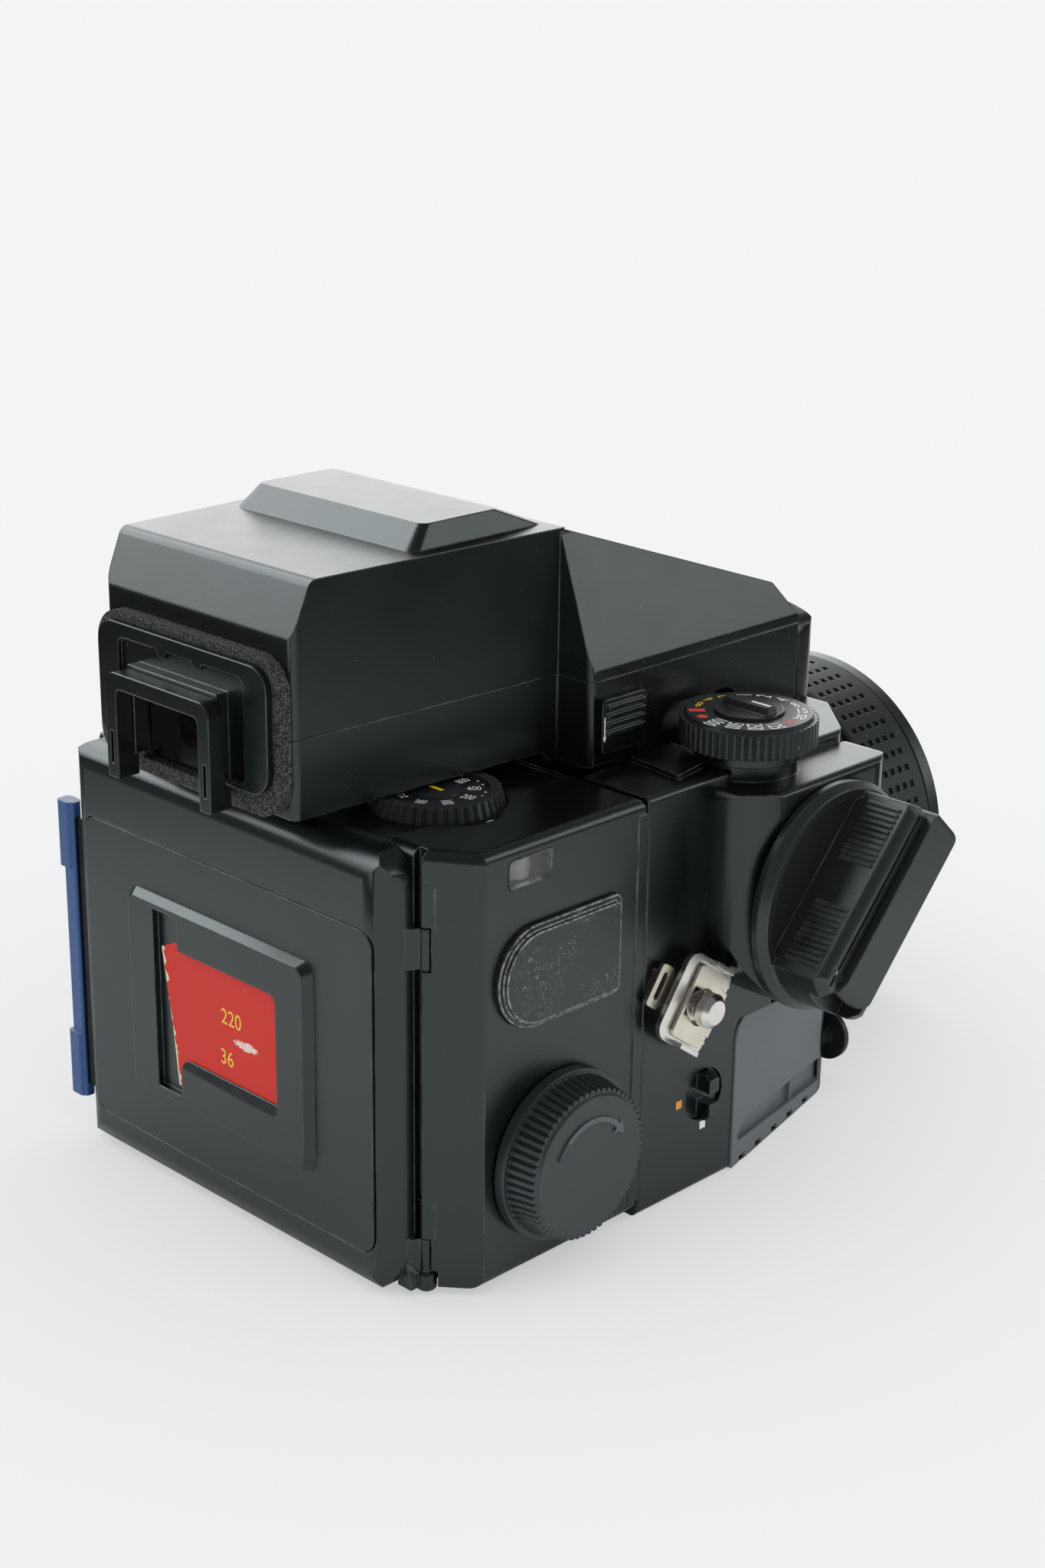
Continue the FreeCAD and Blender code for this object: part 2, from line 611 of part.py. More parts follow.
def make_crank_knob():
    middle = (ARM_S0 + ARM_S1) / 2
    knob = turned("x", middle, CRANK_KNOB_T,
                  [(KNOB_STUD_R + FIT, HUB_FRONT + 2.0), (CRANK_KNOB_R - 0.8, HUB_FRONT + 2.0),
                   (CRANK_KNOB_R, HUB_FRONT + 2.8), (CRANK_KNOB_R - 0.5, ARM_BACK - 1.5),
                   (CRANK_KNOB_R, ARM_BACK - GAP), (KNOB_STUD_R + FIT, ARM_BACK - GAP)])
    return on_crank(knob)


def make_lever():
    disc = rod("x", LEVER_Y, LEVER_Z, LEVER_R - 0.2, BODY_RIGHT - 1.6, BODY_RIGHT - 0.6)
    shaft = rod("x", LEVER_Y, LEVER_Z, LEVER_SHAFT_R, BODY_RIGHT - 7, BODY_RIGHT - 1)
    top = BODY_RIGHT + LEVER_OUT
    wide = LEVER_R + 1
    bar = box(BODY_RIGHT - 0.8, top, LEVER_Y - 1.2, LEVER_Y + 1.2, LEVER_Z - wide, LEVER_Z + wide)
    waist = box(BODY_RIGHT - 0.6, top + 1, LEVER_Y - wide, LEVER_Y + wide, LEVER_Z - 1, LEVER_Z + 1)
    dome = turned("x", LEVER_Y, LEVER_Z, [(0, BODY_RIGHT - 1), (LEVER_R - 0.3, BODY_RIGHT - 1),
                                          (LEVER_R - 0.3, top - 1.2), (LEVER_R - 1.3, top), (0, top)])
    return joined(disc, shaft, minus(both(bar, dome), waist))


def make_stud(side):
    """Strap stud: grooved shaft with a ball end; side is +1 on the right and -1 on the left."""
    wall = BODY_RIGHT if side > 0 else -BODY_LEFT
    profile = [(0, wall - STUD_DEEP), (STUD_SHAFT_R, wall - STUD_DEEP), (STUD_SHAFT_R, wall),
               (STUD_R + 0.6, wall), (STUD_R + 0.6, wall + 0.6), (STUD_R, wall + 0.85),
               (STUD_R, wall + 3.4), (STUD_R - 1, wall + 3.8), (STUD_R - 1, wall + 4.8),
               (STUD_R + 0.1, wall + 5.1), (STUD_R + 0.1, wall + 6.6), (STUD_R - 0.8, wall + 7.5),
               (0, wall + 7.7)]
    stud = turned("x", STUD_Y, STUD_Z, profile)
    if side < 0:
        stud = stud.mirror(V(0, 0, 0), V(1, 0, 0))
    return stud


CLIP_X = 53.2         # back of the frame
CLIP_SHEET = 1.0
CLIP_HALF = 8.1       # half its length
CLIP_TURN = 35.8      # degrees that it hangs aslant in the photo


def on_clip(shape):
    """Turn a clip piece drawn upright about the strap stud to the slant at which it hangs."""
    shape.rotate(V(0, STUD_Y, STUD_Z), V(1, 0, 0), -CLIP_TURN)
    return shape


def make_clip_frame():
    """Stamped frame of the quick-release clip, with a bent flange at each end."""
    x1 = CLIP_X + CLIP_SHEET
    low = STUD_Z - CLIP_HALF
    high = STUD_Z + CLIP_HALF
    plate = slab("x", STUD_Y - 7.9, STUD_Y + 5.6, low, high, [2.8, 2.4, 2.4, 2.8], CLIP_X, x1)
    inner = slab("x", STUD_Y - 5.0, STUD_Y + 3.9, low + 3.4, high - 3.4, 1.2, CLIP_X - 1, x1 + 1)
    top = box(CLIP_X, x1 + 1.9, STUD_Y - 2.6, STUD_Y + 3.0, high - 0.9, high)
    bottom = box(CLIP_X, x1 + 1.9, STUD_Y - 2.6, STUD_Y + 3.0, low, low + 0.9)
    return on_clip(joined(minus(plate, inner), top, bottom))


def make_clip_spring():
    """Spring plate in front of the frame: it snaps round the stud, and its ear takes the strap."""
    x0 = CLIP_X + CLIP_SHEET + 0.1
    x1 = x0 + 0.6
    low = STUD_Z - CLIP_HALF
    high = STUD_Z + CLIP_HALF
    sheet = slab("x", STUD_Y - 4.9, STUD_Y + 5.2, low + 1.4, high - 1.4, [1.2, 2.6, 2.6, 1.2], x0, x1)
    keyhole = joined(rod("x", STUD_Y, STUD_Z, STUD_R + 0.35, CLIP_X, x1 + 1),
                     box(CLIP_X, x1 + 1, STUD_Y - 4.1, STUD_Y, STUD_Z - 2.6, STUD_Z + 2.6))
    notches = []
    for z in (STUD_Z - 4.6, STUD_Z + 4.6):
        tip = [(STUD_Y + 2.6, z), (STUD_Y + 6, z - 0.7), (STUD_Y + 6, z + 0.7)]
        notches.append(prism("x", tip, 0, x0 - 1, x1 + 1))
    back0 = BODY_RIGHT + 0.9
    back1 = back0 + 0.8
    neck = box(back0, back1, STUD_Y - 8.6, STUD_Y - 4.6, STUD_Z - 3.0, STUD_Z + 2.7)
    ear = slab("x", STUD_Y - 11.6, STUD_Y - 8.0, STUD_Z - 4.1, STUD_Z + 3.7, 0.9, back0, back1)
    strap = slab("x", STUD_Y - 10.4, STUD_Y - 9.1, STUD_Z - 2.6, STUD_Z + 2.4, 0.6, back0 - 1, back1 + 1)
    bend = box(back0, x1, STUD_Y - 4.9, STUD_Y - 4.45, STUD_Z - 2.4, STUD_Z + 2.1)
    back = minus(joined(neck, ear), strap)
    return on_clip(joined(minus(sheet, keyhole, *notches), back, bend))


def make_base_plate():
    plate = base_outline(0, BASE_PLATE)
    bush = rod("z", 0, 0, BUSH_R, -1, BASE_PLATE + 1)
    door = battery_door_outline(-1, BASE_PLATE + 1, DOOR_RUN + 0.4, 0.2)
    return minus(plate, bush, door)


def battery_door_outline(z0, z1, run, air):
    half = BATTERY_LONG / 2 + 2.6 + air
    wide = DOOR_HALF + air
    return slab("z", -half - run, half, BATTERY_Y - wide, BATTERY_Y + wide, 1.5, z0, z1)


def make_battery_door():
    door = battery_door_outline(0.3, BASE_PLATE - 0.2, 0, 0)
    ribs = [box(x, x + 0.8, BATTERY_Y - 5, BATTERY_Y + 5, 0, 0.5) for x in (-9.0, -6.6, -4.2, -1.8)]
    return joined(door, *ribs)


def make_tripod_bush():
    bush = rod("z", 0, 0, BUSH_R - FIT, 0, BUSH_HIGH)
    return minus(bush, rod("z", 0, 0, TRIPOD_R, -1, TRIPOD_DEPTH))


def make_mirror_box():
    outer = box(-BOX_HALF, BOX_HALF, BODY_REAR + SHUTTER_DEEP, MOUNT_RING_BACK, BOX_FLOOR, SCREEN_Z - SEAT)
    inner = box(-BOX_INNER, BOX_INNER, MIRROR_PIVOT_Y - 1.9, MOUNT_RING_BACK - 2.2, BOX_FLOOR + 2.8,
                SCREEN_Z + 1)
    gate = film_gate(BODY_REAR, MIRROR_PIVOT_Y)
    throat = rod("y", 0, AXIS_Z, MOUNT_THROAT + 0.2, MOUNT_RING_BACK - 3, MOUNT_RING_BACK + 1)
    pin = MIRROR_PIN_HALF + 0.2
    pivot = rod("x", MIRROR_PIVOT_Y, MIRROR_PIVOT_Z, MIRROR_PIN_R + FIT, -pin, pin)
    end = BATTERY_LONG / 2 + SEAT
    arch = rod("x", BATTERY_Y, BATTERY_Z, BATTERY_R + 1.9, -end - 1.7, end + 1.7)
    arch = minus(arch, box(-end - 2, end + 2, 0, MOUNT_RING_BACK, 0, BOX_FLOOR))
    tray = rod("x", BATTERY_Y, BATTERY_Z, BATTERY_R + GAP, -end, end)
    well = box(-end, end, BATTERY_Y - BATTERY_R - GAP, BATTERY_Y + BATTERY_R + GAP, 0, BATTERY_Z)
    return minus(joined(minus(outer, inner, gate, throat, pivot), arch), tray, well)


def make_mirror():
    plate = box(-MIRROR_WIDE / 2, MIRROR_WIDE / 2, 1.5, MIRROR_LONG, -MIRROR_THICK, 0)
    hub = rod("x", 0, 0, 1.6, -MIRROR_WIDE / 2, MIRROR_WIDE / 2)
    web = box(-MIRROR_WIDE / 2, MIRROR_WIDE / 2, 0, 2.5, -1.5, 0)
    pin = rod("x", 0, 0, MIRROR_PIN_R, -MIRROR_PIN_HALF, MIRROR_PIN_HALF)
    mirror = joined(plate, hub, web, pin)
    mirror.rotate(V(0, 0, 0), V(1, 0, 0), -45)
    mirror.translate(V(0, MIRROR_PIVOT_Y, MIRROR_PIVOT_Z))
    return mirror


def film_gate(y0, y1):
    """Opening for one frame of film, cut along the lens axis."""
    return slab("y", -GATE_W / 2, GATE_W / 2, AXIS_Z - GATE_H / 2, AXIS_Z + GATE_H / 2, GATE_CORNER, y0, y1)


def make_shutter():
    frame = box(-BOX_HALF, BOX_HALF, BODY_REAR + SEAT, BODY_REAR + SHUTTER_DEEP - SEAT, 8, 68)
    return minus(frame, film_gate(BODY_REAR, BODY_REAR + SHUTTER_DEEP))


def make_curtains():
    """Both cloth curtains as one sheet across the gate."""
    half = GATE_W / 2 + 5
    high = GATE_H / 2 + 4
    return box(-half, half, BODY_REAR - 0.2, BODY_REAR + 0.05, AXIS_Z - high, AXIS_Z + high)


def hinge_spans(own):
    """Heights of the knuckles: the cover's are the lower of each pair, the magazine's the upper."""
    spans = []
    for low in (HINGE_LOW, HINGE_HIGH):
        z0 = low + (0 if own == "cover" else HINGE_LONG + GAP)
        spans.append((z0, z0 + HINGE_LONG))
    return spans


def deep_corner():
    """What the lower part of the slanted corner lacks: a deeper slant that fades out upwards."""
    out = BODY_RIGHT + 3
    back = MAG_REAR - 2.5
    wires = []
    for end_y, z in ((MAG_CHAMFER_Y + 1.1, MAG_FACET_LOW), (MAG_CHAMFER_Y, MAG_FACET_TOP)):
        points = [MAG_FACET, (BODY_RIGHT, end_y), (out, end_y), (out, back), (MAG_FACET[0], back)]
        wires.append(loop("z", points, 0, z))
    lower = Part.Face(wires[0]).extrude(V(0, 0, -MAG_FACET_LOW))
    return joined(lower, Part.makeLoft(wires, True, True))


def make_magazine():
    corner_x = COVER_RIGHT + HINGE_GROOVE
    front = BODY_REAR - MAG_SHUT_LINE
    plan = [(BODY_LEFT, MAG_REAR), (corner_x, MAG_REAR), (BODY_RIGHT, MAG_CHAMFER_Y),
            (BODY_RIGHT, front), (BODY_LEFT, front)]
    block = prism("z", plan, [1.0, 0.5, 2.4, 0.4, 0.4], MAG_BOTTOM, BODY_TOP)
    edges = [e for e in block.Edges
             if e.BoundBox.ZMin > BODY_TOP - 0.1 and e.CenterOfMass.x > corner_x - 0.5
             and e.CenterOfMass.y < front - 0.3]
    block = block.makeFillet(MAG_EDGE, edges)
    frame = slab("y", BODY_LEFT, BODY_RIGHT, MAG_BOTTOM, BODY_TOP, [2.5, 2.0, 0, MAG_EDGE],
                 MAG_REAR - 1, front + 1)
    shell = minus(both(block, frame), deep_corner())
    strip = box(BODY_RIGHT - 1, BODY_RIGHT + 0.2, front - 2.2, front, MAG_BOTTOM + 2.5, BODY_TOP - 2.5)
    shell = joined(shell, strip)
    left = BODY_LEFT - 1
    step = [(left, MAG_REAR - 1), (34.9, MAG_REAR - 1), (35.2, -53.9), (40.1, -49.7), (40.6, -42.5),
            (36.5, -35.3), (34.3, -32.2), (34.3, front - 1.2), (left, front - 1.2)]
    lowered = prism("z", step, [0, 0, 2, 3, 3, 3, 1.5, 0, 0], BODY_TOP - MAG_STEP, BODY_TOP + 1)
    hollow = box(BODY_LEFT + MAG_WALL, MAG_HOLLOW_X, MAG_REAR - 1, FILM_Y, MAG_BOTTOM + MAG_WALL,
                 BODY_TOP - MAG_WALL - MAG_STEP)
    gate = film_gate(FILM_Y - 1, front + 1)
    groove = box(COVER_RIGHT - 0.1, corner_x, MAG_REAR - 1, HINGE_Y + 0.4, 0, BODY_TOP)
    wells = [rod("z", HINGE_X, HINGE_Y, HINGE_KNUCKLE_R + GAP, z0 - GAP, z1 + GAP)
             for z0, z1 in hinge_spans("cover")]
    wells.append(rod("z", HINGE_X, HINGE_Y, HINGE_FOOT_R + 2 * GAP, 0, HINGE_FOOT_HIGH + GAP))
    wind = rod("x", SPOOL_Y, TAKEUP_Z, WIND_SHAFT_R + FIT, CHEEK_X1, BODY_RIGHT + 1)
    iso_pocket = rod("z", ISO_X, ISO_Y, ISO_R + GAP, BODY_TOP - ISO_DEEP, BODY_TOP + 3)
    iso_shaft = rod("z", ISO_X, ISO_Y, ISO_SHAFT_R + FIT, BODY_TOP - 3.6, BODY_TOP)
    counter = counter_outline(BODY_RIGHT - 1.0, BODY_RIGHT + 1, 0.1)
    counter_well = box(BODY_RIGHT - 8.4, BODY_RIGHT - 0.9, COUNTER_REAR + 0.5, COUNTER_FRONT - 0.5,
                       COUNTER_LOW + 0.5, COUNTER_HIGH - 0.5)
    cap_seat = side_cap_outline(BODY_RIGHT - CAP_SUNK, BODY_RIGHT + 1, SEAT)
    latch = box(BODY_LEFT - 1, BODY_LEFT + LATCH_DEEP + 0.2, LATCH_Y0 - GAP, LATCH_Y1 + GAP,
                LATCH_Z0 - LATCH_TRAVEL - 0.5, LATCH_Z1 + 0.5)
    shell = minus(shell, lowered, hollow, gate, groove, wind, iso_pocket, iso_shaft, counter,
                  counter_well, cap_seat, latch, *wells)
    knuckles = []
    for z0, z1 in hinge_spans("magazine"):
        knuckle = rod("z", HINGE_X, HINGE_Y, HINGE_KNUCKLE_R, z0, z1)
        web = box(HINGE_X, HINGE_X + 2.0, HINGE_Y, HINGE_Y + 1.5, z0, z1)
        knuckles.append(joined(knuckle, web))
    shell = joined(shell, *knuckles)
    return minus(shell, rod("z", HINGE_X, HINGE_Y, HINGE_PIN_R + FIT, 1, BODY_TOP - 2))


def counter_outline(x0, x1, air=0.0):
    """Outline of the frame counter's window; its lower front corner is the roundest."""
    points = [(COUNTER_REAR - air, COUNTER_LOW - air), (COUNTER_FRONT + air, COUNTER_LOW - air),
              (COUNTER_FRONT + air, COUNTER_HIGH + air), (COUNTER_REAR - air, COUNTER_HIGH + air)]
    return prism("x", points, [0.9, 2.2, 0.6, 1.1], x0, x1)


def make_counter_drum():
    """Frame counter: a drum on an upright spindle, seen through the window."""
    x = BODY_RIGHT - 4.8
    y = COUNTER_REAR + 4.1
    drum = rod("z", x, y, 3.4, COUNTER_LOW + 0.7, COUNTER_HIGH - 0.7)
    spindle = rod("z", x, y, 0.8, COUNTER_LOW + 0.5, COUNTER_HIGH - 0.5)
    return joined(drum, spindle)


def side_cap_outline(x0, x1, air=0.0):
    """The round-ended plate on the magazine's side, grown by the air given."""
    end = (CAP_Z1 - CAP_Z0) / 2 + air - 0.1
    other = 1.5 + min(air, 0) / 2
    return slab("x", CAP_Y0 - air, CAP_Y1 + air, CAP_Z0 - air, CAP_Z1 + air, [end, other, other, end], x0, x1)


def make_side_cap():
    low = side_cap_outline(BODY_RIGHT - CAP_SUNK, BODY_RIGHT + 0.9)
    high = side_cap_outline(BODY_RIGHT + 0.8, BODY_RIGHT + 1.8, -1.0)
    return joined(low, high)


SPOOL_X0 = SPOOL_MIDDLE - SPOOL_LONG / 2
SPOOL_X1 = SPOOL_MIDDLE + SPOOL_LONG / 2
CHEEK_X0 = SPOOL_X0 - SPOOL_PLAY
CHEEK_X1 = SPOOL_X1 + SPOOL_PLAY
FILM_X0 = SPOOL_X0 + SPOOL_FLANGE + 0.35
FILM_X1 = SPOOL_X1 - SPOOL_FLANGE - 0.35


def make_insert():
    bottom = MAG_BOTTOM + MAG_WALL + 0.4
    top = BODY_TOP - MAG_WALL - 1.2
    ends = []
    for x0, x1 in ((CHEEK_X0 - CHEEK, CHEEK_X0), (CHEEK_X1, CHEEK_X1 + CHEEK)):
        ends.append(slab("x", INSERT_REAR, INSERT_FRONT, bottom, top, 3, x0, x1))
    across = (CHEEK_X0 - CHEEK / 2, CHEEK_X1 + CHEEK / 2)
    middle = (TAKEUP_Z + SUPPLY_Z) / 2
    bar = INSERT_REAR + 1.5
    bridge = box(*across, bar + 3.0, INSERT_FRONT - 0.7, middle - 2.3, middle + 0.9)
    floor_bar = box(*across, bar, bar + 2.9, bottom + 1, bottom + 9)
    top_bar = box(*across, bar, bar + 2.9, top - 9, top - 1)
    frame = joined(ends[0], ends[1], bridge, floor_bar, top_bar)
    for z in (TAKEUP_Z, SUPPLY_Z):
        frame = frame.cut(rod("x", SPOOL_Y, z, SPOOL_STUB_R + FIT, CHEEK_X0 - 5, CHEEK_X1 + 5))
    return frame


def make_pressure_plate():
    return slab("y", FILM_X0, FILM_X1, AXIS_Z - PLATE_HALF, AXIS_Z + PLATE_HALF, 1, FILM_Y - 2.8,
                FILM_Y - 1.1)


def make_spool(z, drive):
    spool = turned("x", SPOOL_Y, z, [
        (0, SPOOL_X0), (SPOOL_FLANGE_R, SPOOL_X0), (SPOOL_FLANGE_R, SPOOL_X0 + SPOOL_FLANGE),
        (SPOOL_CORE_R, SPOOL_X0 + SPOOL_FLANGE), (SPOOL_CORE_R, SPOOL_X1 - SPOOL_FLANGE),
        (SPOOL_FLANGE_R, SPOOL_X1 - SPOOL_FLANGE), (SPOOL_FLANGE_R, SPOOL_X1), (0, SPOOL_X1)])
    left = CHEEK_X0 - CHEEK + 0.2
    right = CHEEK_X1 + CHEEK - 0.2
    stub = rod("x", SPOOL_Y, z, SPOOL_STUB_R, left, SPOOL_X0 + SPOOL_FLANGE / 2)
    other = rod("x", SPOOL_Y, z, SPOOL_STUB_R, SPOOL_X1 - SPOOL_FLANGE / 2, right)
    spool = joined(spool, stub, other)
    if drive:
        spool = spool.cut(box(right - DOG_SLOT, right + 1, SPOOL_Y - 0.9, SPOOL_Y + 0.9, z - 5, z + 5))
    return spool


def make_film():
    roll = ring("x", SPOOL_Y, SUPPLY_Z, FILM_ROLL_R, SPOOL_CORE_R + GAP, FILM_X0, FILM_X1)
    strip = box(FILM_X0, FILM_X1, FILM_Y - 0.6, FILM_Y - 0.3, TAKEUP_Z + 6, SUPPLY_Z - 1)
    return group(roll, strip)


def make_wind_knob():
    base = BODY_RIGHT + 0.3
    flange = rod("x", SPOOL_Y, TAKEUP_Z, WIND_R, base, base + 2.0)
    grip = knurled("x", SPOOL_Y, TAKEUP_Z, (WIND_R - 0.9, base + 1.9), (WIND_FACE_R + 0.3, WIND_OUT - 0.5),
                   WIND_TEETH, 0.8)
    face = turned("x", SPOOL_Y, TAKEUP_Z, [(0, WIND_OUT - 0.6), (WIND_FACE_R - 0.4, WIND_OUT - 0.6),
                                           (WIND_FACE_R - 0.9, WIND_OUT), (0, WIND_OUT)])
    arrow = ring("x", SPOOL_Y, TAKEUP_Z, WIND_ARROW_R, WIND_ARROW_R - 1, WIND_OUT - 0.2, WIND_OUT + 0.3)
    sector = box(WIND_OUT - 1, WIND_OUT + 1, SPOOL_Y - WIND_ARROW_R, SPOOL_Y + WIND_ARROW_R,
                 TAKEUP_Z + 3.5, TAKEUP_Z + WIND_ARROW_R)
    slot_mouth = CHEEK_X1 + CHEEK - 0.2
    shaft = rod("x", SPOOL_Y, TAKEUP_Z, WIND_SHAFT_R, slot_mouth + 0.8, base + 0.2)
    tongue = box(slot_mouth - 0.6, slot_mouth + 1.0, SPOOL_Y - 0.6, SPOOL_Y + 0.6, TAKEUP_Z - 2.8,
                 TAKEUP_Z + 2.8)
    return joined(flange, grip, face, both(arrow, sector), shaft, tongue)


def make_iso_dial():
    floor = BODY_TOP - ISO_DEEP + GAP
    bevel = knurled("z", ISO_X, ISO_Y, (ISO_R, floor), (ISO_R - 0.9, BODY_TOP + 1.6), ISO_TEETH, 0.6)
    face = rod("z", ISO_X, ISO_Y, ISO_FACE_R, BODY_TOP + 1.0, BODY_TOP + 3)
    button = rod("z", ISO_X, ISO_Y, ISO_BUTTON_R, BODY_TOP + 0.9, BODY_TOP + 1.3)
    shaft = rod("z", ISO_X, ISO_Y, ISO_SHAFT_R, BODY_TOP - 3.4, floor + 0.3)
    return joined(minus(bevel, face), button, shaft)


def make_rear_cover():
    plan = [(COVER_LEFT, COVER_REAR), (COVER_RIGHT, COVER_REAR), (COVER_RIGHT, MAG_REAR - 0.15),
            (COVER_LEFT, MAG_REAR - 0.15)]
    shell = prism("z", plan, [COVER_EDGE, COVER_EDGE, 0.3, 0.3], 0, BODY_TOP)
    side = slab("x", COVER_REAR, MAG_REAR, 0, BODY_TOP, [COVER_EDGE, 0.3, 0.3, COVER_EDGE],
                COVER_LEFT, COVER_RIGHT)
    rear = slab("y", COVER_LEFT, COVER_RIGHT, 0, BODY_TOP, COVER_CORNER, COVER_REAR, MAG_REAR)
    shell = both(shell, side, rear)
    inside = box(-33, 33, MAG_REAR - 1.6, MAG_REAR + 1, 8, 70)
    pocket = slab("y", POCKET_X0, POCKET_X1, POCKET_Z0, POCKET_Z1, POCKET_CORNER, COVER_REAR - 1,
                  COVER_REAR + POCKET_DEEP)
    store = box(COVER_LEFT - 1, SLIDE_X1 + 0.4, COVER_REAR + SLIDE_DEEP - GAP,
                COVER_REAR + SLIDE_DEEP + SLIDE_THICK + GAP, SLIDE_Z0 - 0.6, SLIDE_Z1 + 0.6)
    shell = minus(shell, inside, pocket, store)
    parts = [shell]
    for z0, z1 in hinge_spans("cover"):
        knuckle = rod("z", HINGE_X, HINGE_Y, HINGE_KNUCKLE_R, z0, z1)
        arm = prism("z", [(COVER_RIGHT - 1, MAG_REAR - 2.0), (COVER_RIGHT, MAG_REAR - 2.0),
                          (HINGE_X - 0.3, HINGE_Y - 1.0), (HINGE_X - 0.9, HINGE_Y - 0.4),
                          (COVER_RIGHT, MAG_REAR - 0.25), (COVER_RIGHT - 1, MAG_REAR - 0.25)],
                    0, z0, z1)
        parts.append(joined(knuckle, arm))
    parts.append(hinge_foot())
    cover = joined(*parts)
    hole = rod("z", HINGE_X, HINGE_Y, HINGE_PIN_R + FIT, -1, BODY_TOP)
    catch = box(COVER_LEFT + 3.3, COVER_LEFT + 4.6, MAG_REAR - 0.2, MAG_REAR + 3.2, 34, 44)
    return minus(joined(cover, catch), hole)


def hinge_foot():
    """Round foot of the cover at the lower end of the hinge, which shows as a jog in the open line."""
    foot = rod("z", HINGE_X, HINGE_Y, HINGE_FOOT_R, HINGE_FOOT_LOW, HINGE_FOOT_HIGH)
    foot = foot.makeFillet(0.8, [e for e in foot.Edges if e.BoundBox.ZMax - e.BoundBox.ZMin < 0.1])
    side = COVER_RIGHT - 1.5
    low = HINGE_FOOT_LOW + 0.8
    high = HINGE_FOOT_HIGH + 2.2
    web = prism("y", [(side, low), (HINGE_X, low), (HINGE_X, HINGE_FOOT_HIGH - 0.8),
                      (COVER_RIGHT - 0.1, high), (side, high)],
                [0, 0, 0, 1.5, 0], MAG_REAR - 2.4, MAG_REAR - 0.15)
    return joined(foot, web)


def make_pocket_panel():
    return slab("y", POCKET_X0 + POCKET_AIR, POCKET_X1 - POCKET_AIR, POCKET_Z0 + POCKET_AIR,
                POCKET_Z1 - POCKET_AIR, POCKET_CORNER - POCKET_AIR, COVER_REAR,
                COVER_REAR + POCKET_DEEP - SEAT)


def make_memo_frame():
    """Raised frame for a torn-off film packet end: a tall slot on the left and a window beside it."""
    face = COVER_REAR - MEMO_THICK
    floor = COVER_REAR - MEMO_FLOOR
    outer = skin("y", (MEMO_X0 - 1.2, MEMO_X1 + 1.5, MEMO_Z0 - 1.1, MEMO_Z1 + 1.2, 2.4, COVER_REAR),
                 (MEMO_X0, MEMO_X1, MEMO_Z0, MEMO_Z1, 1.8, face))
    slot = slab("y", -16.2, CARD_SLOT_X + 0.5, 19.9, 53.3, 0.3, face - 1, floor)
    window = slab("y", CARD_SLOT_X, 16.2, LIP_Z, 47.4, [0.3, 1.2, 1.6, 0.3], face - 1, floor)
    pocket = box(-15.4, 16.9, floor - CARD_THICK - 0.1, floor, 21.0, 48.6)
    frame = minus(outer, slot, window, pocket)
    back = floor - CARD_THICK - 0.1
    top = LIP_Z + LIP_RISE
    slope = [(face, LIP_Z - 2), (face, LIP_Z), (back - 0.2, top), (back, top), (back, LIP_Z - 2)]
    lip = prism("x", slope, 0, CARD_SLOT_X + 0.5, 16.3)
    rounded = slab("y", CARD_SLOT_X + 0.5, 16.3, LIP_Z - 3, LIP_Z + LIP_RISE, [0, 0, 0, 1.8], face - 1, floor)
    return joined(frame, both(lip, rounded))


def make_card():
    """The card, with the slanted left edge where it was torn off."""
    floor = COVER_REAR - MEMO_FLOOR
    points = [(-11.4, 21.3), (16.6, 21.3), (16.6, 48.3), (-11.0, 48.3), (-15.0, 46.4), (-12.6, 32.0)]
    return prism("y", points, 0, floor - CARD_THICK - 0.05, floor - 0.05)


def make_blade():
    y0 = COVER_REAR + SLIDE_DEEP
    return box(COVER_LEFT - 0.6, SLIDE_X1, y0, y0 + SLIDE_THICK, SLIDE_Z0, SLIDE_Z1)


def make_handle():
    y0 = COVER_REAR + SLIDE_DEEP
    grip = slab("z", COVER_LEFT - 4.0, COVER_LEFT - 0.5, y0 - 0.7, y0 + 1.3, 0.6, HANDLE_Z0, HANDLE_Z1)
    pads = []
    for z0, z1 in ((HANDLE_Z0, HANDLE_Z0 + HANDLE_PAD), (HANDLE_Z1 - HANDLE_PAD, HANDLE_Z1)):
        pads.append(slab("z", COVER_LEFT - 4.8, COVER_LEFT - 0.9, y0 - 1.2, y0 + 1.8, 0.9, z0, z1))
    slit = box(COVER_LEFT - 0.7, COVER_LEFT, y0 - 0.2, y0 + SLIDE_THICK + 0.2, SLIDE_Z0, SLIDE_Z1)
    return minus(joined(grip, pads[0], pads[1]), slit)


def make_latch():
    plate = slab("x", LATCH_Y0, LATCH_Y1, LATCH_Z0, LATCH_Z1, 0.6, BODY_LEFT - 0.9, BODY_LEFT + LATCH_DEEP)
    ribs = []
    for i in range(5):
        z = LATCH_Z0 + 2.5 + 2.0 * i
        ribs.append(box(BODY_LEFT - 1.6, BODY_LEFT - 0.8, LATCH_Y0 + 0.7, LATCH_Y1 - 0.7, z, z + 0.9))
    return joined(plate, *ribs)


def finder_plan(z0, z1, air=0.0):
    points = [(-FINDER_BACK_HALF, FINDER_BACK), (FINDER_BACK_HALF, FINDER_BACK),
              (FINDER_NECK_HALF, FINDER_REAR), (FINDER_HALF, FINDER_REAR), (FINDER_HALF, FINDER_NOSE),
              (-FINDER_HALF, FINDER_NOSE), (-FINDER_HALF, FINDER_REAR), (-FINDER_NECK_HALF, FINDER_REAR)]
    return prism("z", points, [1.5, 1.5, 0.5, 1.5, 0, 0, 1.5, 0.5], z0, z1)


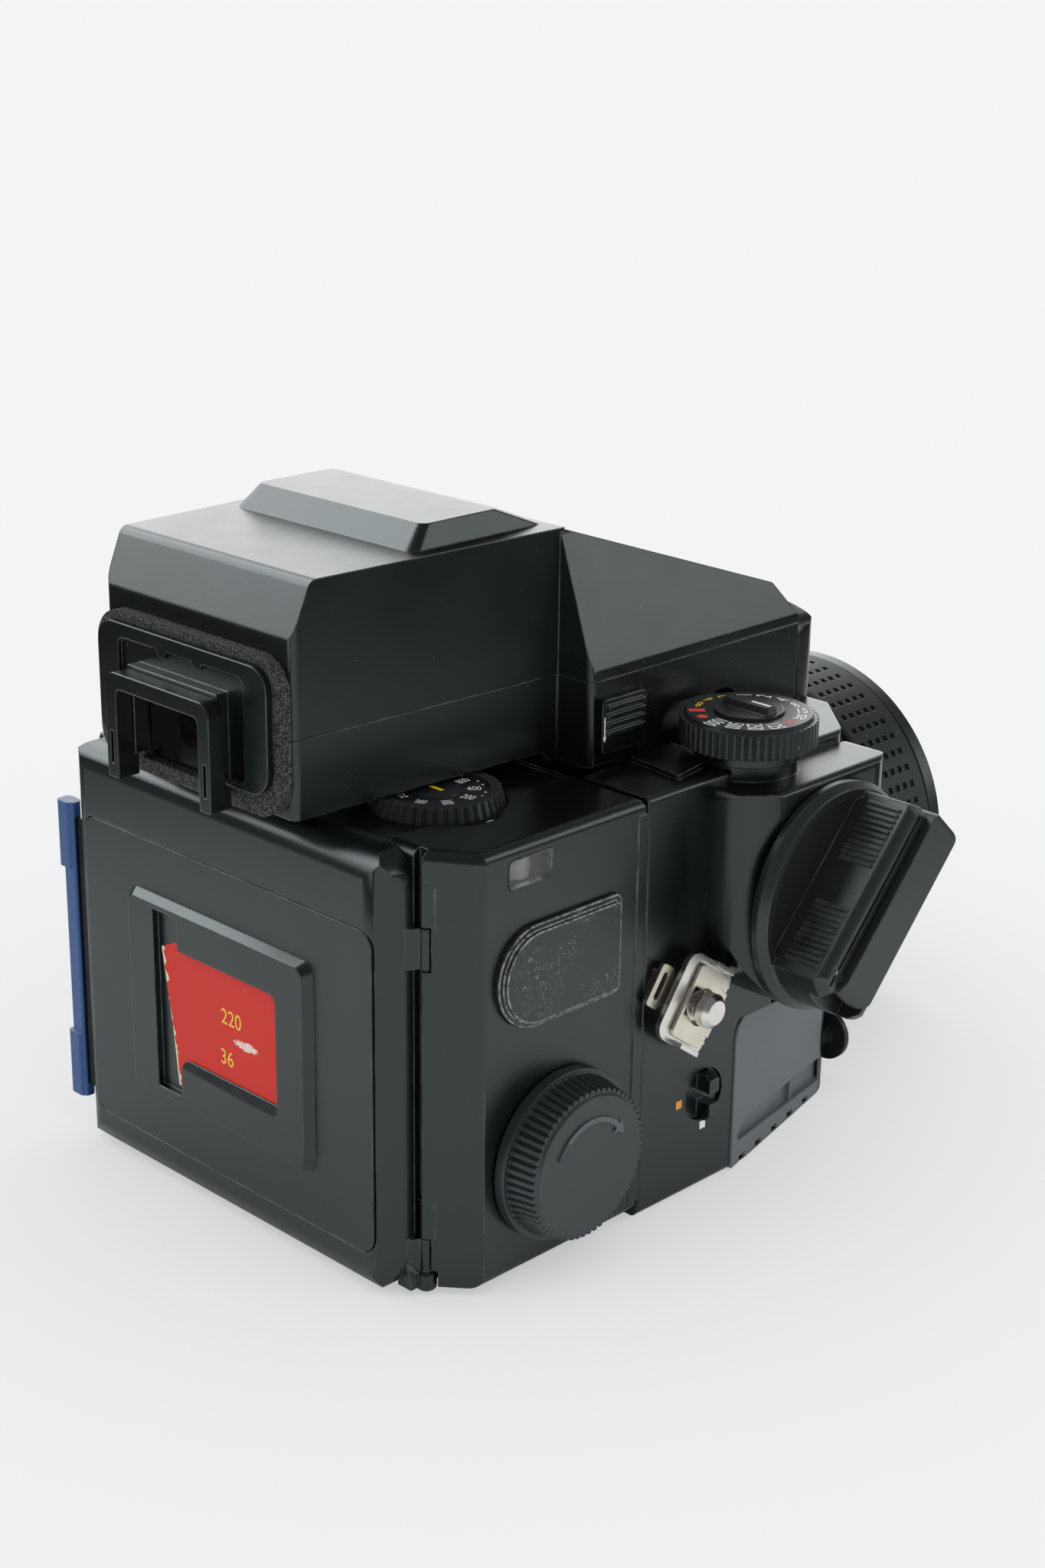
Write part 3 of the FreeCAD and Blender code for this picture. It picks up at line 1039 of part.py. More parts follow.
def prism_outline(half, air):
    """The glass prism over the screen, grown by the air given."""
    rear = -15 - air
    nose = 27 + air
    foot = 84.6 - air
    points = [(rear, foot), (nose, foot), (nose, 92), (9 + air, 105 + air), (rear, 109 + air)]
    return prism("x", points, 0, -half, half)


def light_channel():
    return box(-CHANNEL_HALF, CHANNEL_HALF, FINDER_BACK - 1, 0, CHANNEL_LOW, CHANNEL_HIGH)


def make_finder_lower():
    shell = finder_plan(BODY_TOP + 0.05, FINDER_SEAM - 0.05)
    side = prism("x", [(FINDER_BACK - 1, FINDER_UNDER), (BODY_REAR - 0.5, FINDER_UNDER),
                       (BODY_REAR + 1.5, BODY_TOP), (FINDER_NOSE + 1, BODY_TOP),
                       (FINDER_NOSE + 1, 95), (FINDER_BACK - 1, 95)], 0, -40, 40)
    shell = both(shell, side)
    well = box(-28, 28, -15.6, 29, BODY_TOP - 1, 84.5)
    notch = slab("x", 1.7, 21.9, 70, 85.2, [0, 0, 4, 4], FINDER_HALF - 2.6, FINDER_HALF + 1)
    track = box(FINDER_HALF - 0.4, FINDER_HALF + 1, SLIDER_Y0 - GAP, SLIDER_Y1 + GAP, BODY_TOP - 1,
                SLIDER_Z1 + 0.4)
    return minus(shell, well, light_channel(), prism_outline(PRISM_HALF + PRISM_AIR, PRISM_AIR), notch, track)


def make_finder_upper():
    front_side = prism("x", [(FINDER_REAR, FINDER_SEAM), (FINDER_NOSE, FINDER_SEAM), (FINDER_NOSE, 94.6),
                             (33.0, 101.4), (FINDER_REAR, FINDER_ROOF)], [0, 0, 0.8, 1.6, 0.8], -40, 40)
    lean = prism("y", [(-FINDER_HALF, FINDER_SEAM), (FINDER_HALF, FINDER_SEAM), (FINDER_HALF, 95),
                       (ROOF_LEAN, FINDER_ROOF), (-ROOF_LEAN, FINDER_ROOF), (-FINDER_HALF, 95)],
                 [0, 0, 1.5, 2.0, 2.0, 1.5], -80, 45)
    front = both(front_side, lean, finder_plan(FINDER_SEAM, FINDER_HIGH))
    back_side = prism("x", [(FINDER_BACK, FINDER_SEAM), (FINDER_REAR + 1, FINDER_SEAM),
                            (FINDER_REAR + 1, FINDER_ROOF), (ROOF_BACK, FINDER_ROOF),
                            (FINDER_BACK, BACK_HIGH)],
                      [0, 0, 0, 2.0, 2.0], -40, 40)
    back_plan = prism("z", [(-FINDER_BACK_HALF, FINDER_BACK), (FINDER_BACK_HALF, FINDER_BACK),
                            (FINDER_NECK_HALF, FINDER_REAR), (FINDER_NECK_HALF, FINDER_REAR + 2),
                            (-FINDER_NECK_HALF, FINDER_REAR + 2), (-FINDER_NECK_HALF, FINDER_REAR)],
                      [1.5, 1.5, 0, 0, 0, 0], FINDER_SEAM, FINDER_ROOF)
    roof = skin("z", (-22.5, 22.5, -46.8, -15.1, 2.0, FINDER_ROOF - 0.4),
                (-20.7, 20.7, -42.5, -25.5, 1.6, ROOF_TOP))
    shell = joined(front, both(back_side, back_plan), roof)
    return minus(shell, light_channel(), prism_outline(PRISM_HALF + PRISM_AIR, PRISM_AIR))


def make_finder_front():
    side = prism("x", [(FINDER_NOSE + 0.4, BODY_TOP + 0.2), (COVER_NOSE, BODY_TOP + 0.2),
                       (COVER_NOSE - 0.2, 80.5), (43.3, 95), (FINDER_NOSE + 0.4, 97)],
                 [0, 0.8, 1.5, 2.5, 1.0], -40, 40)
    plan = slab("z", -FINDER_HALF, FINDER_HALF, 30, COVER_NOSE, [0, 0, 7, 7], 70, 100)
    dome = prism("y", [(-FINDER_HALF, 70), (FINDER_HALF, 70), (FINDER_HALF, 93.0), (24, 97),
                       (-24, 97), (-FINDER_HALF, 93.0)], [0, 0, 4, 20, 20, 4], 30, 50)
    return both(side, plan, dome)


def make_slider():
    plate = slab("x", SLIDER_Y0, SLIDER_Y1, SLIDER_Z0, SLIDER_Z1, 0.8, FINDER_HALF - 0.3, FINDER_HALF + 1.6)
    ribs = []
    for i in range(4):
        z = SLIDER_Z0 + 3.3 + 1.5 * i
        ribs.append(box(FINDER_HALF + 1.5, FINDER_HALF + 2.3, SLIDER_Y0 + 0.8, SLIDER_Y1 - 0.8, z, z + 0.7))
    return joined(plate, *ribs)


def make_gasket():
    outer = slab("y", -GASKET_HALF, GASKET_HALF, FINDER_UNDER, GASKET_TOP, 6, GASKET_REAR, FINDER_BACK)
    inner = box(-EYE_HALF - 1.8, EYE_HALF + 1.8, GASKET_REAR - 1, FINDER_BACK + 1, CHANNEL_LOW - 0.6,
                CHANNEL_HIGH - 0.6)
    return minus(outer, inner)


def make_eyepiece_plate():
    plate = slab("y", -GASKET_HALF + 1.8, GASKET_HALF - 1.8, FINDER_UNDER + 4, GASKET_TOP - 1.5, 4,
                 PLATE_REAR, GASKET_REAR)
    pocket = slab("y", -16.0, 16.0, 84.8, 102.6, 1.5, PLATE_REAR - 1, PLATE_REAR + 0.7)
    window = box(-EYE_HALF, EYE_HALF, BLOCK_REAR - 1, GASKET_REAR + 1, FINDER_UNDER + 2, EYE_TOP)
    block = box(-BLOCK_HALF, BLOCK_HALF, BLOCK_REAR, GASKET_REAR - 0.1, BLOCK_LOW, BLOCK_TOP)
    ribs = []
    for x in (-4.5, 4.5):
        ribs.append(both(rod("y", x, 102.6, 1.3, PLATE_REAR, PLATE_REAR + 0.9),
                         box(x - 2, x + 2, PLATE_REAR - 1, GASKET_REAR, BLOCK_TOP, 102.7)))
    return joined(minus(plate, pocket, window), minus(block, window), *ribs)


def make_eyecup():
    outer = slab("y", -CUP_HALF, CUP_HALF, FINDER_UNDER + 0.5, CUP_TOP, [0.5, 0.5, 2.5, 2.5], CUP_REAR, -75.2)
    inner = slab("y", -10.6, 10.6, FINDER_UNDER - 1, 95.9, [0.3, 0.3, 1.2, 1.2], CUP_REAR - 1, -74)
    hook = box(-BLOCK_HALF - 0.1, BLOCK_HALF + 0.1, BLOCK_REAR + 0.1, -70, BLOCK_LOW - 0.3, CUP_TOP + 0.7)
    above = box(-CUP_HALF - 1, CUP_HALF + 1, BLOCK_REAR - 0.1, -70, BLOCK_LOW - 0.2, CUP_TOP + 1)
    below = box(-CUP_HALF - 1, CUP_HALF + 1, PLATE_REAR - 0.7, -70, FINDER_UNDER - 1, BLOCK_LOW - 0.1)
    slots = [box(x - 0.4, x + 0.4, CUP_REAR - 1, CUP_REAR + 1.2, 83, 88.5) for x in (-12, 12)]
    return minus(outer, inner, hook, above, below, *slots)


def make_eyepiece_lens():
    half = EYE_HALF - SEAT
    glass = box(-half, half, GASKET_REAR + 0.2, GASKET_REAR + 1.6, BLOCK_LOW, EYE_TOP - 0.2)
    rear = rod("y", 0, (CHANNEL_LOW + CHANNEL_HIGH) / 2, 7.3, -60, -56)
    return group(glass, rear)


def make_lens_barrel():
    inner = BARREL_R - BARREL_WALL
    back = FLANGE_Y - 3.2
    profile = [(inner, back), (MOUNT_THROAT, back), (MOUNT_THROAT, FLANGE_Y), (MOUNT_R, FLANGE_Y),
               (MOUNT_R, APERTURE_REAR - GAP), (BARREL_R, APERTURE_REAR - GAP),
               (BARREL_R, APERTURE_FRONT + GAP), (MOUNT_R + 1.4, APERTURE_FRONT + GAP),
               (MOUNT_R + 1.4, FOCUS_REAR - 0.4), (BARREL_R, FOCUS_REAR - 0.4),
               (BARREL_R, BARREL_FRONT), (inner, BARREL_FRONT)]
    return turned("y", 0, AXIS_Z, profile)


def make_aperture_ring():
    middle = APERTURE_REAR + 4.0
    body = knurled("y", 0, AXIS_Z, (LENS_R - 0.6, APERTURE_REAR), (LENS_R - 0.6, middle), 36, 0.8)
    lip = rod("y", 0, AXIS_Z, LENS_R - 1.6, middle - 0.1, APERTURE_FRONT)
    bore = rod("y", 0, AXIS_Z, BARREL_R + FIT, APERTURE_REAR - 1, APERTURE_FRONT + 1)
    return minus(joined(body, lip), bore)


def make_focus_ring():
    profile = [(BARREL_R + FIT, FOCUS_REAR), (LENS_R - 1.8, FOCUS_REAR), (LENS_R - 1.0, SCALE_FRONT - 0.4),
               (LENS_R - 2.2, SCALE_FRONT - 0.1), (LENS_R - 2.2, FOCUS_FRONT), (BARREL_R + FIT, FOCUS_FRONT)]
    return turned("y", 0, AXIS_Z, profile)


def make_focus_grip():
    grip = ring("y", 0, AXIS_Z, LENS_R - 0.8, LENS_R - 2.2, SCALE_FRONT + 0.2, FOCUS_FRONT)
    bands = []
    for i in range(GRIP_BANDS):
        y0 = SCALE_FRONT + 1.5 + GRIP_PITCH * i
        bands.append(ring("y", 0, AXIS_Z, LENS_R, LENS_R - 1.6, y0, y0 + GRIP_PITCH * 0.66))
    return joined(grip, *bands)


def make_filter_ring():
    back = FOCUS_FRONT + GAP
    inner = BARREL_R - BARREL_WALL
    front = turned("y", 0, AXIS_Z, [(FILTER_R, back), (LENS_R - 0.4, back), (LENS_R - 0.4, LENS_FRONT - 0.6),
                                    (LENS_R - 1.0, LENS_FRONT), (FILTER_R, LENS_FRONT)])
    throat = turned("y", 0, AXIS_Z, [(inner, BARREL_FRONT), (BARREL_R - 0.2, BARREL_FRONT),
                                     (BARREL_R - 0.2, back), (FILTER_R + 0.2, back),
                                     (FILTER_R + 0.2, back + 0.4), (inner, BARREL_FRONT + 0.8)])
    return joined(front, throat)


def lens_glass(radius, y0, y1, bulge_front, bulge_rear):
    """Round element turned about the lens axis; each face is flat or bulges outwards."""

    def at(r, y):
        return V(0, y, AXIS_Z + r)

    def face(y, bulge):
        """Half section of one face, from the rim to the axis."""
        if bulge == 0:
            return Part.LineSegment(at(radius, y), at(0, y)).toShape()
        big = (radius * radius + bulge * bulge) / (2 * abs(bulge))
        turn = math.asin(radius / big) / 2
        sag = big * (1 - math.cos(turn))
        middle = y + bulge - math.copysign(sag, bulge)
        return Part.Arc(at(radius, y), at(big * math.sin(turn), middle), at(0, y + bulge)).toShape()

    front = face(y1, bulge_front)
    rear = face(y0, -bulge_rear)
    rim = Part.LineSegment(at(radius, y0), at(radius, y1)).toShape()
    core = Part.LineSegment(at(0, y1 + bulge_front), at(0, y0 - bulge_rear)).toShape()
    section = Part.Face(Part.Wire(Part.__sortEdges__([front, rear, rim, core])))
    return section.revolve(V(0, 0, AXIS_Z), V(0, 1, 0), 360)


def make_elements():
    inner = BARREL_R - BARREL_WALL - 0.02
    return group(lens_glass(inner, 80.5, 84.0, 2.6, 0), lens_glass(inner, 68.0, 72.0, 0, 2.2),
                 lens_glass(inner, 44.0, 47.5, 2.4, 0), lens_glass(inner, 37.5, 40.5, 0, 1.8))


def make_iris():
    return ring("y", 0, AXIS_Z, BARREL_R - BARREL_WALL - 0.02, 9.0, 58.0, 58.8)


def make_mount_ring():
    profile = [(MOUNT_THROAT + SEAT, MOUNT_RING_BACK), (MOUNT_RING_R, MOUNT_RING_BACK),
               (MOUNT_RING_R, MOUNT_RING_FRONT), (MOUNT_R + SEAT, MOUNT_RING_FRONT),
               (MOUNT_R + SEAT, FLANGE_Y), (MOUNT_THROAT + SEAT, FLANGE_Y)]
    flat = box(-40, 40, 30, 60, 0, SUMP + BASE_PLATE + SEAT)
    return minus(turned("y", 0, AXIS_Z, profile), flat)


def make_release():
    back = BODY_FRONT + 2.0 + GAP
    face = BODY_FRONT + 4.2
    shaft = rod("y", RELEASE_X, RELEASE_Z, RELEASE_SHAFT_R, BODY_FRONT - 6, back + 0.5)
    cap = turned("y", RELEASE_X, RELEASE_Z, [(0, back), (RELEASE_R, back), (RELEASE_R, face - 0.8),
                                             (RELEASE_R - 0.8, face - 0.2), (0, face)])
    return joined(shaft, cap)


def make_lens_release():
    back = BODY_FRONT - 6
    face = BODY_FRONT + 2.8
    return turned("y", LENS_LOCK_X, LENS_LOCK_Z, [(0, back), (LENS_LOCK_R, back), (LENS_LOCK_R, face - 0.6),
                                                  (LENS_LOCK_R - 0.6, face), (0, face)])


save("body_shell", make_body())
save("side_grip_panel", make_grip_panel())
save("crank_housing", make_crank_housing())
save("base_plate", make_base_plate())
save("tripod_bush", make_tripod_bush())
save("battery", rod("x", BATTERY_Y, BATTERY_Z, BATTERY_R, -BATTERY_LONG / 2, BATTERY_LONG / 2))
save("battery_cover", make_battery_door())
save("mirror_box", make_mirror_box())
save("reflex_mirror", make_mirror())
save("focusing_screen", box(-BOX_HALF, BOX_HALF, -15.5, 30, SCREEN_Z, SCREEN_Z + SCREEN_THICK))
save("shutter_frame", make_shutter())
save("shutter_curtains", make_curtains())
save("lens_mount_ring", make_mount_ring())
save("strap_studs", group(make_stud(1), make_stud(-1)))
save("clip_frame", make_clip_frame())
save("clip_spring_plate", make_clip_spring())
save("multi_exposure_lever", make_lever())
save("shutter_release_button", make_release())
save("lens_release_button", make_lens_release())
save("shutter_dial", make_shutter_dial())
save("dial_lock_button", make_dial_button())
save("crank_hub", make_crank_hub())
save("crank_arm_pin", make_crank_pin())
save("crank_arm", make_crank_arm())
save("crank_knob", make_crank_knob())
save("magazine_shell", make_magazine())
save("side_cap", make_side_cap())
save("counter_window", counter_outline(BODY_RIGHT - 0.9, BODY_RIGHT + 0.1))
save("counter_disc", make_counter_drum())
save("insert_frame", make_insert())
save("pressure_plate", make_pressure_plate())
save("take_up_spool", make_spool(TAKEUP_Z, True))
save("supply_spool", make_spool(SUPPLY_Z, False))
save("film", make_film())
save("wind_knob", make_wind_knob())
save("film_speed_dial", make_iso_dial())
save("rear_cover", make_rear_cover())
save("pocket_panel", make_pocket_panel())
save("memo_frame", make_memo_frame())
save("film_card", make_card())
save("dark_slide_blade", make_blade())
save("dark_slide_handle", make_handle())
save("hinge_pin", group(*[rod("z", HINGE_X, HINGE_Y, HINGE_PIN_R, low, low + 2 * HINGE_LONG + GAP)
                         for low in (HINGE_LOW, HINGE_HIGH)]))
save("cover_latch", make_latch())
save("finder_lower_housing", make_finder_lower())
save("finder_upper_housing", make_finder_upper())
save("finder_front_cover", make_finder_front())
save("finder_release_slider", make_slider())
save("finder_prism", prism_outline(PRISM_HALF, 0))
save("foam_gasket", make_gasket())
save("eyepiece_plate", make_eyepiece_plate())
save("eyecup_frame", make_eyecup())
save("eyepiece_lens", make_eyepiece_lens())
save("lens_barrel", make_lens_barrel())
save("aperture_ring", make_aperture_ring())
save("focus_ring", make_focus_ring())
save("focus_grip", make_focus_grip())
save("filter_ring", make_filter_ring())
save("lens_elements", make_elements())
save("iris_blades", make_iris())
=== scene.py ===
# %% [markdown]
# # A medium format film camera
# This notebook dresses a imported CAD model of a 6 x 4.5 cm single lens reflex camera. The CAD gives the
# real sizes, so everything here is in metres in the same frame: +Y runs along the lens to the front,
# +X is the photographer's right and +Z is up. The first cell loads that frame and keeps its box.

# %% Load the frame
import bpy
import bmesh
import json
import math
from mathutils import Matrix, Vector
from mathutils.bvhtree import BVHTree


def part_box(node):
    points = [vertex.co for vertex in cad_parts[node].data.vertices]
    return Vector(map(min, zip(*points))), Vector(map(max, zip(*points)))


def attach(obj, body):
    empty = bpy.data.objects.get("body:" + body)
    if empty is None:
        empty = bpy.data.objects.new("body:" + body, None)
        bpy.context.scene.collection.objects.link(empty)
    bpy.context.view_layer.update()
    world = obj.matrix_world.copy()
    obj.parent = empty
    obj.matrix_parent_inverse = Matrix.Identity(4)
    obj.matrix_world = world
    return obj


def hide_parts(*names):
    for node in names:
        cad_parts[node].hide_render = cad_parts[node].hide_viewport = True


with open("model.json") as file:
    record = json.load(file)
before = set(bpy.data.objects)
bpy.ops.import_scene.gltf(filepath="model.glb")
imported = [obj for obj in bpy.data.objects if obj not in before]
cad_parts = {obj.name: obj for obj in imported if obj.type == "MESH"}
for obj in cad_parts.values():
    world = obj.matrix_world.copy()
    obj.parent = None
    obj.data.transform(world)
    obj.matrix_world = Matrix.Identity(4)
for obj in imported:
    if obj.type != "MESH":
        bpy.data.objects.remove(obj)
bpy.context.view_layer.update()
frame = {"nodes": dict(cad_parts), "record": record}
NODES = frame["nodes"]
BODY_OF = {}
for body_name, node_names in frame["record"]["behaviour"]["bodies"].items():
    for node_name in node_names:
        BODY_OF[node_name] = body_name

# %% [markdown]
# ## Sizes
# Lengths are written in millimetres, as on a drawing, and turned to metres by one function.

# %% Lengths in millimetres
def mm(*values):
    """Millimetres to metres: one number stays a number, several become a Vector."""
    if len(values) == 1:
        return values[0] / 1000
    return Vector(values) / 1000


AXIS_Z = 37.0                      # lens axis above the base
BODY_TOP = 78.0                    # top of body and magazine
SIDE_X = 50.7                      # the body's right side
DIAL_AT = (47.5, 9.0)              # shutter dial: X and Y
ISO_AT = (25.8, -44.3)             # film-speed dial: X and Y
WIND_AT = (-40.2, 21.0)            # winding knob: Y and Z

# %% [markdown]
# ## Materials
# Colours are written as the sRGB hex values that a colour picker shows. Shaders want linear light, so
# one function converts them. Another adds a node, sets its values and links its inputs.

# %% Colour and node helpers
def colour(hex_text, alpha=1.0):
    """sRGB hex to the linear RGBA that a shader socket wants."""
    out = []
    for i in (0, 2, 4):
        c = int(hex_text[i:i + 2], 16) / 255
        out.append(c / 12.92 if c <= 0.04045 else ((c + 0.055) / 1.055) ** 2.4)
    return (*out, alpha)


def add(tree, kind, links=None, values=None, **settings):
    """Add a node: settings are its properties, values its sockets, links what feeds them."""
    node = tree.nodes.new(kind)
    for name, value in settings.items():
        setattr(node, name, value)
    for socket, value in (values or {}).items():
        node.inputs[socket].default_value = value
    for socket, source in (links or {}).items():
        tree.links.new(source, node.inputs[socket])
    return node


def new_material(name):
    """An empty material with a Principled surface; returns the material, its tree and the shader."""
    material = bpy.data.materials.new(name)
    material.use_nodes = True
    tree = material.node_tree
    tree.nodes.clear()
    shader = add(tree, "ShaderNodeBsdfPrincipled")
    add(tree, "ShaderNodeOutputMaterial", {"Surface": shader.outputs["BSDF"]})
    return material, tree, shader

# %% [markdown]
# The camera is old and much used: its moulded edges are polished by hands, and fine dust sits in the
# grain. The lighter colour along the edges is partly that wear and partly a painted highlight, the
# bright line that a rounded edge catches. The edge mask compares the true normal with one that is
# rounded over a small radius. They differ only near an edge, so the difference marks every outer edge,
# where hands rub and where the painted highlight lies. Noise breaks the line up. Scuffs on an open
# face are fine noise inside coarse patches.

# %% Masks for edge wear and painted edge highlight, dust and scuffs
def edge_mask(tree, coords, radius_mm=0.5, strength=9.0, patch_mm=6.0):
    """0 on open faces, up to 1 along the outer edges, broken up by noise."""
    rounded = add(tree, "ShaderNodeBevel", values={"Radius": mm(radius_mm)}, samples=6)
    geometry = add(tree, "ShaderNodeNewGeometry")
    dot = add(tree, "ShaderNodeVectorMath", {0: rounded.outputs["Normal"], 1: geometry.outputs["Normal"]},
              operation="DOT_PRODUCT")
    away = add(tree, "ShaderNodeMath", {1: dot.outputs["Value"]}, {0: 1.0}, operation="SUBTRACT")
    patches = add(tree, "ShaderNodeTexNoise", {"Vector": coords},
                  {"Scale": 1 / mm(patch_mm), "Detail": 3.0, "Roughness": 0.6})
    spread = add(tree, "ShaderNodeMapRange", {"Value": patches.outputs["Fac"]},
                 {"From Min": 0.38, "From Max": 0.62, "To Min": 0.12, "To Max": 1.0})
    sharp = add(tree, "ShaderNodeMath", {0: away.outputs[0]}, {1: strength}, operation="MULTIPLY",
                use_clamp=True)
    return add(tree, "ShaderNodeMath", {0: sharp.outputs[0], 1: spread.outputs["Result"]},
               operation="MULTIPLY", use_clamp=True).outputs[0], rounded.outputs["Normal"]


def dust_mask(tree, coords, cell_mm=0.9, size=0.07, rare=0.93):
    """Sparse specks of dust: round dots of several sizes in a few cells of a Voronoi pattern."""
    cells = add(tree, "ShaderNodeTexVoronoi", {"Vector": coords}, {"Scale": 1 / mm(cell_mm)})
    split = add(tree, "ShaderNodeSeparateColor", {"Color": cells.outputs["Color"]})
    limit = add(tree, "ShaderNodeMath", {0: split.outputs["Green"]}, {1: size}, operation="MULTIPLY")
    dots = add(tree, "ShaderNodeMath", {0: cells.outputs["Distance"], 1: limit.outputs[0]},
               operation="LESS_THAN")
    kept = add(tree, "ShaderNodeMath", {0: split.outputs["Red"]}, {1: rare}, operation="GREATER_THAN")
    return add(tree, "ShaderNodeMath", {0: dots.outputs[0], 1: kept.outputs[0]},
               operation="MULTIPLY").outputs[0]


def scuff_mask(tree, coords, patch_mm=7.0, line_mm=1.1, strength=0.65):
    """Fine scratches that lie in patches on open faces."""
    patches = add(tree, "ShaderNodeTexNoise", {"Vector": coords},
                  {"Scale": 1 / mm(patch_mm), "Detail": 2.0})
    within = add(tree, "ShaderNodeMapRange", {"Value": patches.outputs["Fac"]},
                 {"From Min": 0.5, "From Max": 0.62})
    lines = add(tree, "ShaderNodeTexNoise", {"Vector": coords},
                {"Scale": 1 / mm(line_mm), "Detail": 8.0, "Roughness": 0.75, "Distortion": 2.0})
    sharp = add(tree, "ShaderNodeMapRange", {"Value": lines.outputs["Fac"]},
                {"From Min": 0.56, "From Max": 0.64, "To Max": strength})
    return add(tree, "ShaderNodeMath", {0: within.outputs["Result"], 1: sharp.outputs["Result"]},
               operation="MULTIPLY").outputs[0]


def mix_colour(tree, mask, low, high):
    """Colour low where the mask is 0 and high where it is 1; each is a colour or a socket."""
    node = add(tree, "ShaderNodeMix", {"Factor": mask}, data_type="RGBA")
    for socket, value in ((node.inputs[6], low), (node.inputs[7], high)):
        if isinstance(value, tuple):
            socket.default_value = value
        else:
            tree.links.new(value, socket)
    return node.outputs[2]


def moulded(name, base, worn_and_highlight_colour, rough, grain_mm=0.3, grain=0.2, edge_wear_and_highlight=6.0, dust=0.12, edge_mm=0.4,
            specular=0.85, rough_worn=0.22, speck="7d8082", patch_mm=6.0, scuffed=False):
    """Moulded plastic or painted metal: slight mottling, fine grain, dust, and edges lighter from wear
    and painted highlight.
    """
    material, tree, shader = new_material(name)
    coords = add(tree, "ShaderNodeTexCoord").outputs["Object"]
    # The lighter colour on every edge is partly wear and partly a painted highlight.
    wear_and_highlight_at, rounded = edge_mask(tree, coords, edge_mm, edge_wear_and_highlight, patch_mm)
    mottle = add(tree, "ShaderNodeTexNoise", {"Vector": coords},
                 {"Scale": 1 / mm(14.0), "Detail": 5.0, "Roughness": 0.65})
    lighter = tuple(min(1.0, c * 1.35 + 0.0008) for c in colour(base)[:3]) + (1.0,)
    body = mix_colour(tree, mottle.outputs["Fac"], colour(base), lighter)
    body = mix_colour(tree, wear_and_highlight_at, body, colour(worn_and_highlight_colour))
    if scuffed:
        body = mix_colour(tree, scuff_mask(tree, coords), body, colour(worn_and_highlight_colour))
    if dust:
        body = mix_colour(tree, dust_mask(tree, coords, size=dust), body, colour(speck))
    tree.links.new(body, shader.inputs["Base Color"])
    smooth = add(tree, "ShaderNodeMapRange", {"Value": mottle.outputs["Fac"]},
                 {"From Min": 0.3, "From Max": 0.7, "To Min": rough - 0.015, "To Max": rough + 0.03})
    polished = add(tree, "ShaderNodeMix", {"Factor": wear_and_highlight_at, "A": smooth.outputs["Result"]},
                   {"B": rough_worn})
    tree.links.new(polished.outputs["Result"], shader.inputs["Roughness"])
    shader.inputs["Specular IOR Level"].default_value = specular
    shader.inputs["Specular Tint"].default_value = colour("e6f4f6")
    grains = add(tree, "ShaderNodeTexNoise", {"Vector": coords},
                 {"Scale": 1 / mm(grain_mm), "Detail": 2.0})
    bump = add(tree, "ShaderNodeBump", {"Height": grains.outputs["Fac"], "Normal": rounded},
               {"Strength": grain, "Distance": mm(0.03)})
    tree.links.new(bump.outputs["Normal"], shader.inputs["Normal"])
    return material

# %% [markdown]
# ### The plastics, paints and rubbers
# The body is a glass-filled polycarbonate with a fine spark-eroded grain. It is almost black, and what
# shows of it in the photo is the light it mirrors. The finger knob and the eyecup are the same plastic
# from a polished mould, the crank's hub is duller from use, and its arm is satin. The dials are painted
# metal, and the side insert is a dark grey ABS.

# %% Plastics and paints
# The light grey lines along its edges are partly wear and partly a painted highlight.
MATTE_BLACK = moulded("black_polycarbonate", "080b0c", "54585a", 0.29, edge_wear_and_highlight=9.0,
                     edge_mm=0.35, patch_mm=4.0)
GLOSS_BLACK = moulded("polished_black_polycarbonate", "0b0d0d", "333638", 0.26, grain=0.08, edge_wear_and_highlight=8.0,
                      rough_worn=0.15)
CRANK_BLACK = moulded("worn_crank_polycarbonate", "191b1c", "505456", 0.35, grain=0.1, edge_wear_and_highlight=9.0,
                      specular=0.85, rough_worn=0.15)
SATIN_BLACK = moulded("ribbed_satin_polycarbonate", "1b1e1f", "43484a", 0.45, grain=0.2)
GREY_ABS = moulded("dark_grey_abs", "5e6265", "74777a", 0.42, grain=0.15, specular=0.5)
KNOB_BLACK = moulded("satin_black_polycarbonate", "232628", "383c3f", 0.4, grain=0.15)
DIAL_BLACK = moulded("satin_black_enamel", "1b1d1e", "3c4043", 0.34, grain=0.12, dust=0.16,
                     specular=0.5)
LENS_BLACK = moulded("black_anodised_aluminium", "0f1011", "45474a", 0.34, grain=0.12)
RUBBER = moulded("moulded_rubber", "141515", "232424", 0.55, grain=0.3, edge_wear_and_highlight=3.0, dust=0.2)
BLUE = moulded("blue_polypropylene", "2b4a7c", "45689b", 0.36, grain=0.08, specular=0.5)
WHITE = moulded("white_polystyrene", "cfcdc4", "dcdad2", 0.4, grain=0.05, dust=0.0)
SCRATCHED = moulded("scratched_black_polycarbonate", "1b1c1d", "b4b6b6", 0.4, edge_wear_and_highlight=26.0, dust=0.3,
                    edge_mm=0.5, rough_worn=0.45, speck="a4a6a6", patch_mm=1.1, scuffed=True)
CLOTH = moulded("rubberised_cloth", "0c0c0c", "1c1c1c", 0.8)
FILM = moulded("acetate_film", "3a2418", "4a3020", 0.25, grain=0.05)

# %% [markdown]
# ### The foam
# The gasket round the eyepiece is old foam. Its open cells are full of grey dust, and it crumbles.

